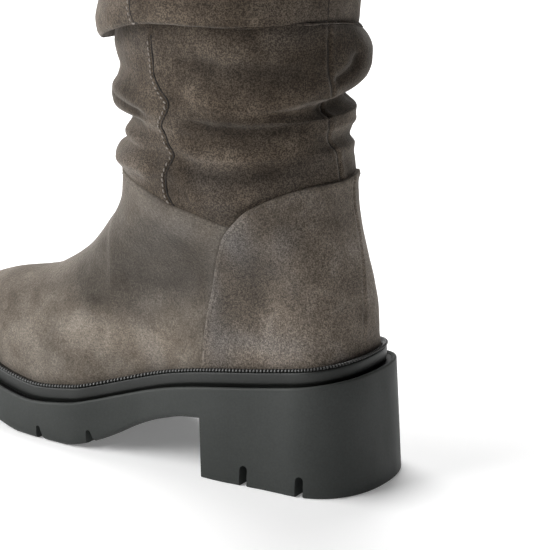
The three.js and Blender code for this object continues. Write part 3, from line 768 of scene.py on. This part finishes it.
# Behind the lip the top drops into a groove that runs under the band
for distance_in, rise in ((1.9, -0.25), (2.3, -0.9), (2.8, -1.5), (3.8, -1.7), (LEDGE + 3, -1.7)):
    edge = inset(loop, distance_in)
    sole_loops.append(lift(edge, lip_height(edge[:, 0]) + rise))
sole = stack("sole_unit", sole_loops, "sole_rubber", "outsole")


def cutter(corners, f, z):
    """A bar right across the sole with a given section, corners as (distance ahead of f, height)."""
    front = [(-(f + a), -90.0, z + b) for a, b in corners]
    rear = [(-(f + a), 90.0, z + b) for a, b in corners]
    n = len(corners)
    faces = [list(range(n)), list(range(2 * n - 1, n - 1, -1))]
    faces += [[i, i + n, (i + 1) % n + n, (i + 1) % n] for i in range(n)]
    mesh = bpy.data.meshes.new("cutter")
    mesh.from_pydata(metres(front + rear), [], faces)
    mesh.update()
    return placed("cutter", mesh)


# Sections of the cross notches: distance ahead of their place, height above the tread
HEEL_NOTCH = [(2.15 * math.cos(a), 8.85 + 2.15 * math.sin(a)) for a in np.linspace(math.pi, 0, 7)]
HEEL_NOTCH += [(2.15, -4), (-2.15, -4)]
TREAD_NOTCH = [
    (-4.2, -4), (-4.0, 0), (-1.0, 7.3), (-0.4, 7.6), (0.7, 7.6), (1.2, 7.1), (1.5, 0), (1.6, -4),
]
cutters = [cutter(HEEL_NOTCH, share * SOLE_LENGTH, 0) for share in (0.084, 0.197)]
cutters += [cutter(TREAD_NOTCH, share * SOLE_LENGTH, float(under_height(share * SOLE_LENGTH)))
            for share in (0.539, 0.655, 0.78, 0.895)]
for tool in cutters:
    mod = sole.modifiers.new("notch", "BOOLEAN")
    mod.operation = "DIFFERENCE"
    mod.solver = "EXACT"
    mod.object = tool
bpy.context.view_layer.update()
cut = bpy.data.meshes.new_from_object(sole.evaluated_get(bpy.context.evaluated_depsgraph_get()))
sole.modifiers.clear()
sole.data = cut
for tool in cutters:
    bpy.data.objects.remove(tool)
sole.data.polygons.foreach_set("use_smooth", [True] * len(sole.data.polygons))
sole.data.set_sharp_from_angle(angle=math.radians(28))
paint(sole, SOLE_MAT)

even_loop = even(outline(stations(300)), BAND_AROUND)


def band_loop(distance, rise):
    edge = inset(even_loop, distance)
    return lift(edge, lip_height(edge[:, 0]) + rise)


band_profile = [
    (9.0, -1.5), (6.4, -1.4), (6.0, -0.6), (5.7, 0.2), (5.3, 0.55), (5.05, 0.95), (5.0, 1.6), (5.02, 3.4),
    (5.1, 5.2), (5.25, 6.1), (5.5, 6.6), (6.0, 6.85), (7.0, 6.9), (12.0, 6.9),
]
rings = [band_loop(d, z) for d, z in band_profile]
band = new_object("band", np.concatenate(rings), ring_faces(len(rings), BAND_AROUND),
                  "band_rubber", "midsole")
paint(band, BAND_MAT)

# A near-black strip laid in the groove between band and sole: painted shade of the groove
groove_shade_profile = [(1.7, -1.9), (2.2, -1.25), (3.0, -1.05), (4.4, -1.0), (5.4, -1.1), (5.9, -1.9)]
rings = [band_loop(d, z) for d, z in groove_shade_profile]
groove_shade_strip = new_object("groove_shade_strip", np.concatenate(rings),
                          ring_faces(len(rings), BAND_AROUND, closed=True), "welt_rubber")
paint(groove_shade_strip, GROOVE_SHADE_MAT)

# Welt strip with fine notches along its edge
TEETH = 330
PER_TOOTH = 6
dense = even(outline(stations(400)), TEETH * PER_TOOTH)
phase = np.arange(TEETH * PER_TOOTH) % PER_TOOTH / PER_TOOTH
tooth = np.clip(1.5 * np.sin(np.pi * phase) - 0.25, 0, 1)
welt_profile = [
    (8.9, 7.0, 0.0), (5.6, 7.0, 0.5), (4.9, 7.15, 1.0), (4.55, 7.6, 1.0), (4.75, 8.2, 1.0),
    (5.2, 8.6, 0.8), (6.0, 8.7, 0.35), (6.9, 8.3, 0.0), (7.7, 7.7, 0.0), (9.0, 7.5, 0.0), (10.2, 7.5, 0.0),
]
rings, tip_glints = [], []
for d, z, share in welt_profile:
    edge = inset(dense, d + 1.0 * share * (1 - tooth))
    rings.append(lift(edge, lip_height(edge[:, 0]) + z - 0.4 * share * (1 - tooth)))
    # Painted glints: the teeth's outer tips on the strip's top are marked for the light colour
    tip_glints.append(tooth * (1.0 if z > 7.4 and share > 0.7 else 0.0))
welt = new_object("welt_strip", np.concatenate(rings), ring_faces(len(rings), len(dense)), "welt_rubber",
                  "welt", angle=50)
attribute(welt, "tip_glint", np.concatenate(tip_glints))
paint(welt, WELT_MAT)

# Upper: the shaft's suede
start = FOOT_RINGS - 48
shaft_grid = skin[start:]
# Painted light and shade: the relief's ridges are made lighter and its troughs darker
tone_and_painted_light = 0.5 + 0.17 * np.clip(relief[start:], -2, 2)
# The fold's lip is partly rubbed pale and partly a painted highlight, the cloth under it gets the fold's
# painted shadow, the bag beside the back seam gets painted shade, and the cloth above the fold is made a
# little lighter
row_of = np.maximum(fold_row[start:], 0)[:, None]
bag_turn = np.degrees(signed_turn)[None, :]
tone_and_painted_light = (tone_and_painted_light + 0.2 * bell(row_of - 18.4, 0.9) - 0.3 * bell(row_of - 15.0, 1.0)
        + 0.14 * smooth(17.5, 20, row_of) - 0.34 * bell(bag_turn + 24, 26) * bell(row_of - 12.5, 3.2))


# Seams on the shaft, as paths of turn in degrees and height
OUTER_SEAM = [
    (92, 135), (96, 141), (101, 149), (101, 156), (99, 163), (97.5, 170), (102, 176), (104, 182),
    (100, 189), (98.5, 195), (104, 200), (109, 206), (110, 213), (110, 221), (109.5, 229),
]
OUTER_SEAM_TOP = [(108, 222), (110, 229), (112, 236), (113.5, 245), (113, 260), (112, 280), (112, 304)]
BACK_SEAM_TOP = [(13, 234), (12.5, 245), (10, 262), (7, 282), (5, 304)]
BACK_SEAM = [
    (0, 150), (0.5, 157), (2, 168), (8, 179), (9.5, 186), (9, 190), (7, 196), (9, 203), (12, 210), (13, 217),
    (13, 225), (13, 238),
]


def seam_groove(path, depth, width, step=0.0):
    """Lowers the shaft along a seam; with step, the side ahead of it stands a little higher."""
    line = unrolled(path, 8)
    a = np.where(turns_deg[start:] > 270, turns_deg[start:] - 360, turns_deg[start:])
    points = np.c_[(a * GIRTH / 360).ravel(), shaft_grid[..., 2].ravel()]
    low, high = line.min(axis=0) - 12, line.max(axis=0) + 12
    near = ((points >= low) & (points <= high)).all(axis=1)
    d = np.full(len(points), 99.0)
    d[near], _, _ = distance(points[near], line)
    drop = -depth * bell(d, width)
    if step:
        ahead = points[:, 0] - np.interp(points[:, 1], line[:, 1], line[:, 0])
        drop = drop + step * (ahead > 0) * bell(d, 5.0)
    return drop.reshape(shaft_grid.shape[:2]), d.reshape(shaft_grid.shape[:2])


below = np.asarray(fold_row[start:] < 15.2)[:, None]
outer_drop, _ = seam_groove(OUTER_SEAM, 0.5, 0.6, 0.6)
back_drop, back_near = seam_groove(BACK_SEAM, 0.9, 0.8)
pillow = 0.35 * bell(back_near - 2.4, 1.4)
drop = (outer_drop + back_drop + pillow) * below
shaft_normals = normals(shaft_grid)
shaft_grid = shaft_grid + shaft_normals * drop[..., None]
# Painted highlight on the low ridge beside the back seam, painted shade in the seam's groove
tone_and_painted_light = tone_and_painted_light + below * (0.22 * bell(back_near - 1.6, 0.9) - 0.2 * bell(back_near, 0.7))

# The collar turns over a rounded edge to the lining
top_ring = shaft_grid[-1]
inward = -shaft_normals[-1] * np.array([1, 1, 0])
collar = [top_ring + inward * (1.1 * (1 - math.cos(a))) + np.array([0, 0, 1.1 * math.sin(a)])
          for a in np.linspace(0.4, math.pi, 6)]
collar.append(collar[-1] + np.array([0, 0, -14.0]))
shaft_all = np.concatenate([shaft_grid, np.array(collar)])
shaft = new_object("shaft_suede_body", shaft_all.reshape(-1, 3), ring_faces(len(shaft_all), AROUND),
                   "shaft_suede", "upper")
attribute(shaft, "tone_and_painted_light", np.r_[tone_and_painted_light.ravel(), np.full(len(collar) * AROUND, 0.55)])
paint(shaft, SHAFT_MAT)


# Panels cut out of the foot's surface
def panel(name, grid, keep, thickness, slot, node, tones, mat):
    """The part of a grid where keep is positive, with its edge rounded over and closed inwards."""
    k, n = grid.shape[:2]
    norm = normals(blur(grid, 2))
    flat = grid.reshape(-1, 3)
    dist = keep.ravel()
    roll = np.clip(1 - dist / 1.3, 0, 1) ** 2
    flat = flat - norm.reshape(-1, 3) * (0.5 * roll)[:, None]
    verts = list(flat)
    tone = list(np.stack([tones.ravel(), coolness.ravel()], -1))
    norms = norm.reshape(-1, 3)
    crossing = {}
    skirt = {}
    faces = []

    def cross(a, b):
        key = (min(a, b), max(a, b))
        if key not in crossing:
            t = dist[a] / (dist[a] - dist[b])
            verts.append(flat[a] + (flat[b] - flat[a]) * t)
            tone.append(tone[a] + (tone[b] - tone[a]) * t)
            top = len(verts) - 1
            m = norms[a] + (norms[b] - norms[a]) * t
            verts.append(verts[top] - m * thickness)
            tone.append(np.array([0.6, tone[a][1]]))
            crossing[key] = top
            skirt[top] = top + 1
        return crossing[key]

    quads = ring_faces(k, n)
    signs = dist[quads] > 0
    faces += list(quads[signs.all(axis=1)])
    on_edge = signs.any(axis=1) & ~signs.all(axis=1)
    for quad, sign in zip(quads[on_edge], signs[on_edge]):
        poly, cuts = [], []
        for i in range(4):
            a, b = quad[i], quad[(i + 1) % 4]
            if sign[i]:
                poly.append(a)
            if sign[i] != sign[(i + 1) % 4]:
                c = cross(a, b)
                poly.append(c)
                cuts.append((c, sign[i]))
        faces.append(poly)
        if len(cuts) == 2:
            leave = next(c for c, s in cuts if s)
            enter = next(c for c, s in cuts if not s)
            faces.append([leave, skirt[leave], skirt[enter], enter])
    used = sorted({int(v) for f in faces for v in f})
    index = {v: i for i, v in enumerate(used)}
    faces = [[index[int(v)] for v in f] for f in faces]
    obj = new_object(name, np.array([verts[v] for v in used]), faces, slot, node)
    attribute(obj, "tone_and_painted_light", np.array([tone[v][0] for v in used]))
    attribute(obj, "cool", np.array([tone[v][1] for v in used]))
    paint(obj, mat)


foot_top = FOOT_RINGS + 26
foot = whole[:foot_top]
foot_view = np.c_[-foot[..., 0].ravel(), foot[..., 2].ravel()]

vamp_region = np.r_[vamp_line, [[400, vamp_line[-1, 1]], [400, -50], [-50, -50], [-50, vamp_line[0, 1]]]]
vamp_keep = signed(foot_view, vamp_line, vamp_region)
# The vamp reaches a little under the counter
tuck = counter_line + [-7, -5]
behind = signed(foot_view, tuck, np.r_[tuck, [[-80, COUNTER_TOP - 5], [-80, -50], [COUNTER_FRONT - 7, -50]]])
vamp_keep = np.minimum(vamp_keep, -behind).reshape(foot.shape[:2])

counter_region = np.r_[counter_line, [[-80, COUNTER_TOP], [-80, -50], [COUNTER_FRONT, -50]]]
counter_keep = signed(foot_view, counter_line, counter_region).reshape(foot.shape[:2])


def spot(f, z, along, up):
    """A soft spot on the foot, seen from the side: 1 at its middle, fading out over its reach."""
    return np.exp(-((-foot[..., 0] - f) / along) ** 2 - ((foot[..., 2] - z) / up) ** 2)


def spots(rows):
    return sum(amount * spot(f, z, along, up) for f, z, amount, along, up in rows)


# Soft dents in the foot: place ahead of the heel's lip, height, side, depth, reach along and up
DENTS = [
    (168, 92, -1, -1.1, 15, 9), (150, 116, -1, 0.7, 11, 9), (196, 62, -1, 0.5, 10, 14),
    (186, 60, -1, -0.45, 6, 16), (128, 104, -1, -0.6, 14, 12), (214, 66, -1, -0.4, 7, 12),
    (60, 112, -1, -0.7, 10, 12), (66, 84, -1, 0.5, 8, 10), (40, 96, -1, 0.5, 12, 14),
    (168, 94, 1, -1.0, 15, 9), (140, 108, 1, 0.7, 13, 10), (60, 106, 1, -0.6, 11, 12),
]
dent = 0.35 * waves(foot, 40, 21) + 0.16 * waves(foot, 18, 27)
for f, z, side, depth, along, up in DENTS:
    dent += depth * spot(f, z, along, up) * smooth(-4, 8, side * foot[..., 1])
near_floor = smooth(0, 8, foot[..., 2] - feather_height(-foot[..., 0]))
dent *= near_floor
foot_norm = normals(blur(foot, 4))

# Where the foot's suede is made lighter or darker: place ahead of the lip, height, amount, reach along and up
TONES = [
    (134, 114, -0.5, 42, 32), (164, 94, -0.3, 24, 14), (200, 72, -0.06, 22, 14), (148, 62, 0.5, 36, 12),
    (112, 66, 0.2, 22, 10), (214, 50, 0.1, 20, 12), (240, 66, 0.12, 16, 12), (182, 56, -0.14, 7, 18),
    (94, 112, -0.36, 20, 18), (162, 118, -0.3, 24, 16), (157, 84, -0.36, 18, 14), (114, 100, -0.24, 15, 8),
    (54, 112, -0.3, 9, 22), (44, 118, 0.12, 24, 16), (36, 84, 0.2, 20, 16), (71, 84, -0.3, 7, 11),
    (14, 108, 0.5, 12, 36), (23, 118, 0.32, 8, 22), (124, 62, 0.2, 26, 8), (54, 66, 0.36, 14, 8),
    (52, 140, 0.06, 22, 6),
]
toning = 0.1 * waves(foot, 26, 41) + 0.05 * waves(foot, 12, 47) + spots(TONES)
# Where the nap looks grey: the counter's front edge and the vamp beside it
COOLS = [
    (76, 68, 0.42, 9, 13), (62, 126, 0.7, 9, 14), (80, 96, 0.5, 5, 22), (60, 74, 0.45, 16, 6),
    (106, 126, 0.5, 12, 10), (150, 140, 0.7, 8, 8), (90, 132, 0.5, 9, 9), (34, 76, 0.3, 12, 6),
]
coolness = spots(COOLS)
# Under the counter the vamp lies lower
under_counter = -0.7 * smooth(-0.8, 0.8, counter_keep) * near_floor
vamp_grid = foot + foot_norm * (dent + under_counter)[..., None]
# Painted shade: the vamp is darker in its dents and along its cut edge, lighter on its bumps
vamp_tone = 0.5 + toning + 0.08 * dent - 0.1 * bell(vamp_keep, 1.0)
panel("vamp_panel", vamp_grid, vamp_keep, 2.4, "vamp_suede", "vamp", vamp_tone, VAMP_MAT)

# Centre-back seam of the counter, as a groove between two low ridges
across = foot[..., 1] + 3 - 13 * smooth(75, 135, foot[..., 2])
at_back = np.abs(np.degrees(signed_turn)) < 40
groove = at_back * (-0.8 * bell(across, 0.8) + 0.3 * bell(np.abs(across) - 2.2, 1.3))
counter_grid = foot + foot_norm * (dent + 0.9 + groove)[..., None]
# Painted shade and highlight: the counter is darker in its dents and lighter on its bumps, and the
# centre-back seam gets painted highlights on its ridges and painted shade in its groove; it is also lighter
# along its edge
counter_tone = (0.5 + toning + 0.14 * dent + 0.12 * bell(counter_keep - 2.5, 2.5)
                + at_back * (0.16 * bell(np.abs(across) - 1.6, 0.9) - 0.25 * bell(across, 0.7)))
panel("counter_panel", counter_grid, counter_keep, 2.8, "counter_suede", "counter", counter_tone, COUNTER_MAT)


# Stitches: small rounded threads set along a line on a surface
def stitches(name, points, out, length, radius, mat, slot, slant=0.0):
    """One thread per point: points and outward normals as rows, laid along the line's direction."""
    verts, faces = [], []
    sides, parts = 6, 5
    for i in range(len(points) - 1):
        p, n = points[i], out[i]
        along = points[i + 1] - points[i]
        along = along / max(np.linalg.norm(along), 1e-9)
        across_dir = np.cross(n, along)
        along = along * math.cos(slant) + across_dir * math.sin(slant)
        across_dir = np.cross(n, along)
        base = len(verts)
        for j in range(parts):
            s = j / (parts - 1) * 2 - 1
            r = radius * math.sqrt(max(0.12, 1 - s ** 4))
            centre = p + along * s * length / 2 + n * (0.25 * radius - 0.9 * radius * s ** 4)
            for q in range(sides):
                a = 2 * math.pi * q / sides
                verts.append(centre + across_dir * r * math.cos(a) + n * r * math.sin(a))
        for j in range(parts - 1):
            for q in range(sides):
                a, b = base + j * sides + q, base + j * sides + (q + 1) % sides
                faces.append([a, b, b + sides, a + sides])
        faces.append([base + q for q in range(sides)][::-1])
        faces.append([base + (parts - 1) * sides + q for q in range(sides)])
    paint(new_object(name, np.array(verts), faces, slot), mat)


def space(line, pitch):
    run = arc(line)
    at = np.arange(0, run[-1], pitch)
    return np.stack([np.interp(at, run, line[:, i]) for i in range(line.shape[1])], -1)


def on_shaft(turn_value, height, above_fold=False):
    """Surface point and normal of the shaft at a turn in degrees and a height, under or on the big fold."""
    j = int(round((turn_value % 360) / 360 * AROUND)) % AROUND
    first = int(np.argmax(fold_row[start:] > 17.6)) if above_fold else 0
    last = len(shaft_grid) if above_fold else int(np.argmax(fold_row[start:] > 15.0))
    z = np.maximum.accumulate(shaft_grid[first:last, j, 2])
    fraction = (turn_value % 360) / 360 * AROUND - j
    k = (j + (1 if fraction > 0 else -1)) % AROUND
    i0 = int(np.clip(np.searchsorted(z, height) - 1, 0, len(z) - 2))
    t = np.clip((height - z[i0]) / max(z[i0 + 1] - z[i0], 1e-6), 0, 1)
    i0 += first
    p = lerp(shaft_grid[i0, j], shaft_grid[i0 + 1, j], t)
    q = lerp(shaft_grid[i0, k], shaft_grid[i0 + 1, k], t)
    return lerp(p, q, abs(fraction)), shaft_normals[i0, j]


def shaft_stitches(name, path, low, high, above=False):
    """Slanted stitches just behind a seam of the shaft."""
    shift, pitch, length, thickness, slant = SEAM_STITCH
    line = unrolled(path, 12)
    line = line[(line[:, 1] > low) & (line[:, 1] < high)]
    d = unit(np.gradient(line, axis=0))
    line = line + np.c_[d[:, 1], -d[:, 0]] * shift
    marks = [on_shaft(a * 360 / GIRTH, z, above) for a, z in space(line, pitch)]
    stitches(name, np.array([p for p, _ in marks]), np.array([n for _, n in marks]), length, thickness,
             THREAD_MAT, "shaft_suede", slant)


def seam_shade_line(name, path, low, high, radius, sunk, above=False):
    """A thin near-black tube laid in a seam's groove of the shaft: painted shade of the seam."""
    line = unrolled(path, 12)
    line = space(line[(line[:, 1] > low) & (line[:, 1] < high)], 1.0)
    marks = [on_shaft(a * 360 / GIRTH, z, above) for a, z in line]
    points = np.array([p - n * sunk for p, n in marks])
    points[1:-1] = (points[:-2] + points[1:-1] * 2 + points[2:]) / 4
    out = np.array([n for _, n in marks])
    along = unit(np.gradient(points, axis=0))
    sideways = np.cross(out, along)
    ring = [points + radius * (sideways * math.cos(a) + out * math.sin(a))
            for a in np.linspace(0, 2 * math.pi, 6, endpoint=False)]
    verts = np.stack(ring, 1).reshape(-1, 3)
    faces = list(ring_faces(len(points), 6))
    faces += [[5, 4, 3, 2, 1, 0], [len(verts) - 6 + i for i in range(6)]]
    paint(new_object(name, verts, faces, "shaft_suede"), SEAM_SHADE_MAT)


# Painted shade: near-black tubes along the shaft's seams
seam_shade_line("outer_seam_shade", OUTER_SEAM, 136, 229, 0.42, 0.12)
seam_shade_line("back_seam_shade", BACK_SEAM, 152, 230, 0.34, 0.1)
seam_shade_line("outer_seam_shade_top", OUTER_SEAM_TOP, 228, 302, 0.42, 0.12, True)
seam_shade_line("back_seam_shade_top", BACK_SEAM_TOP, 238, 302, 0.34, 0.1, True)
shaft_stitches("outer_seam_stitches_top", OUTER_SEAM_TOP, 230, 301, True)
shaft_stitches("outer_seam_stitches", OUTER_SEAM, 140, 229)

# Stitching along the collar
top_row = int(np.argmin(np.abs(shaft_grid[:, 0, 2] - (ANKLE + SHAFT - 3.2))))
collar_line = np.r_[shaft_grid[top_row], shaft_grid[top_row, :1]]
collar_out = np.r_[shaft_normals[top_row], shaft_normals[top_row, :1]]
collar_marks = space(np.c_[collar_line, collar_out], 2.9)
stitches("collar_stitches", collar_marks[:, :3], collar_marks[:, 3:], 2.1, 0.3, DARK_THREAD_MAT,
         "shaft_suede")


def panel_stitches(name, grid, line, shift, slot, limit, pitch=2.7):
    """Stitches on both sides of the foot, along a side-view line moved by shift."""
    d = unit(np.gradient(line, axis=0))
    marks = [(f, z) for f, z in space(line + np.c_[-d[:, 1], d[:, 0]] * shift, pitch) if limit(f, z)]
    norm = normals(blur(grid, 2))
    view = np.stack([-grid[..., 0], grid[..., 2]], -1)
    for side, word in ((-1, "outer"), (1, "inner")):
        part = grid[..., 1] * side > 0
        cells, at = np.argwhere(part), view[part]
        points, out = [], []
        for f, z in marks:
            gap = np.hypot(at[:, 0] - f, at[:, 1] - z)
            near = np.argsort(gap)[:3]
            if gap[near[0]] > 2.0:
                continue
            weight = 1 / (gap[near] + 0.05)
            weight = (weight / weight.sum())[:, None]
            row, place = cells[near].T
            points.append((grid[row, place] * weight).sum(axis=0))
            out.append((norm[row, place] * weight).sum(axis=0))
        stitches(f"{name}_{word}", np.array(points), unit(np.array(out)), pitch * 0.72, 0.26,
                 DARK_THREAD_MAT, slot)


panel_stitches("counter_stitches", counter_grid, counter_line, 2.2, "counter_suede",
               lambda f, z: z > feather_height(f) + 3 and f > 22)
panel_stitches("vamp_stitches", vamp_grid, vamp_line, -2.2, "vamp_suede", lambda f, z: 66 < f < 146)

# Lining and footbed
levels = np.linspace(62, ANKLE + SHAFT - 6, 90)
inside_skin = (whole - normals(whole) * LINING_INSET)[:, ::4]
reach = np.hypot(inside_skin[..., 0] + ANKLE_MID, inside_skin[..., 1])
angle = np.arctan2(inside_skin[-1, :, 1], inside_skin[-1, :, 0] + ANKLE_MID)
lining = []
for z in levels[levels >= ANKLE - 4]:
    radius = np.where(np.abs(inside_skin[..., 2] - z) < 5, reach, 1e9).min(axis=0)
    lining.append(np.c_[-ANKLE_MID + radius * np.cos(angle), radius * np.sin(angle), np.full(len(radius), z)])
lower = inside_skin[:FOOT_RINGS - 8]
lining = np.concatenate([lower, np.array(lining)])
lining_faces = ring_faces(len(lining), lining.shape[1])[:, ::-1]
lining_obj = new_object("lining", lining.reshape(-1, 3), lining_faces, "shaft_suede")
paint(lining_obj, LINING_MAT)
paint(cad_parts["insole"], FOOTBED_MAT)

# Floor, light and camera
floor_mesh = bpy.data.meshes.new("floor")
floor_mesh.from_pydata([(-9, -9, 0), (9, -9, 0), (9, 9, 0), (-9, 9, 0)], [], [(0, 1, 2, 3)])
floor = placed("floor", floor_mesh)
floor_mat, floor_tree, floor_bsdf = nodes_of("floor")
floor_tone = ramp(floor_tree, noise(floor_tree, 3, 2), [(0.0, grey(0.95)), (1.0, grey(0.97))])
floor_tree.links.new(floor_tone, floor_bsdf.inputs["Base Color"])
floor_bsdf.inputs["Roughness"].default_value = 0.9
# The floor is lit from within a little, more towards its far edge, so that it stays pale all the way
floor_coord = floor_tree.nodes.new("ShaderNodeTexCoord")
floor_reach = floor_tree.nodes.new("ShaderNodeVectorMath")
floor_reach.operation = "LENGTH"
floor_tree.links.new(floor_coord.outputs["Object"], floor_reach.inputs[0])
floor_glow = ramp(floor_tree, maths(floor_tree, "DIVIDE", floor_reach.outputs["Value"], 9.0),
                  [(0.12, grey(0.17)), (0.3, grey(0.5)), (0.6, grey(0.85))])
floor_tree.links.new(floor_glow, floor_bsdf.inputs["Emission Color"])
floor_bsdf.inputs["Emission Strength"].default_value = 1.0
floor.data.materials.append(floor_mat)

world = bpy.data.worlds.new("studio")
bpy.context.scene.world = world
world.use_nodes = True
world_tree = world.node_tree
sky = world_tree.nodes.new("ShaderNodeTexCoord")
split = world_tree.nodes.new("ShaderNodeSeparateXYZ")
world_tree.links.new(sky.outputs["Generated"], split.inputs[0])
# Bright at the horizon, as a studio's back wall is, and dim overhead
glow = ramp(world_tree, split.outputs["Z"], [(0.03, grey(0.9)), (0.13, grey(0.25)), (0.35, grey(0.1))])
world_tree.links.new(glow, world_tree.nodes["Background"].inputs[0])
world_tree.nodes["Background"].inputs[1].default_value = 1.0


def area(name, place, target, size, power):
    light = bpy.data.lights.new(name, "AREA")
    light.shape = "RECTANGLE"
    light.size, light.size_y = size
    light.energy = power
    obj = placed(name, light)
    obj.location = place
    obj.rotation_euler = (Vector(target) - Vector(place)).to_track_quat("-Z", "Y").to_euler()


area("key", (-1.6, -1.35, 1.3), (0, 0, 0.12), (2.4, 1.5), 86)
area("back", (-1.05, 1.15, 1.9), (0, 0, 0.1), (1.8, 1.4), 62)

# Camera, as found from the photo's outlines: angles in degrees, distances in millimetres
CAMERA_AZIMUTH, CAMERA_ELEVATION, CAMERA_LENS = 33.0, 16.5, 153.95
CAMERA_BACK, CAMERA_RIGHT, CAMERA_UP = 1200, -53.88, 105.9
azimuth, elevation = math.radians(CAMERA_AZIMUTH), math.radians(CAMERA_ELEVATION)
right = Vector((math.cos(azimuth), math.sin(azimuth), 0))
forward = Vector((-math.sin(azimuth) * math.cos(elevation), math.cos(azimuth) * math.cos(elevation),
                  -math.sin(elevation)))
above = right.cross(forward)
camera_data = bpy.data.cameras.new("camera")
camera_data.sensor_width = 36
camera_data.lens = CAMERA_LENS
camera_data.clip_end = 30
camera = placed("camera", camera_data)
place = Vector(HEEL) - CAMERA_BACK * forward + CAMERA_RIGHT * right + CAMERA_UP * above
facing = Matrix((right, above, -forward)).transposed().to_4x4()
camera.matrix_world = Matrix.Translation(place * 0.001) @ facing
bpy.context.scene.camera = camera
bpy.context.scene.view_settings.view_transform = "Standard"
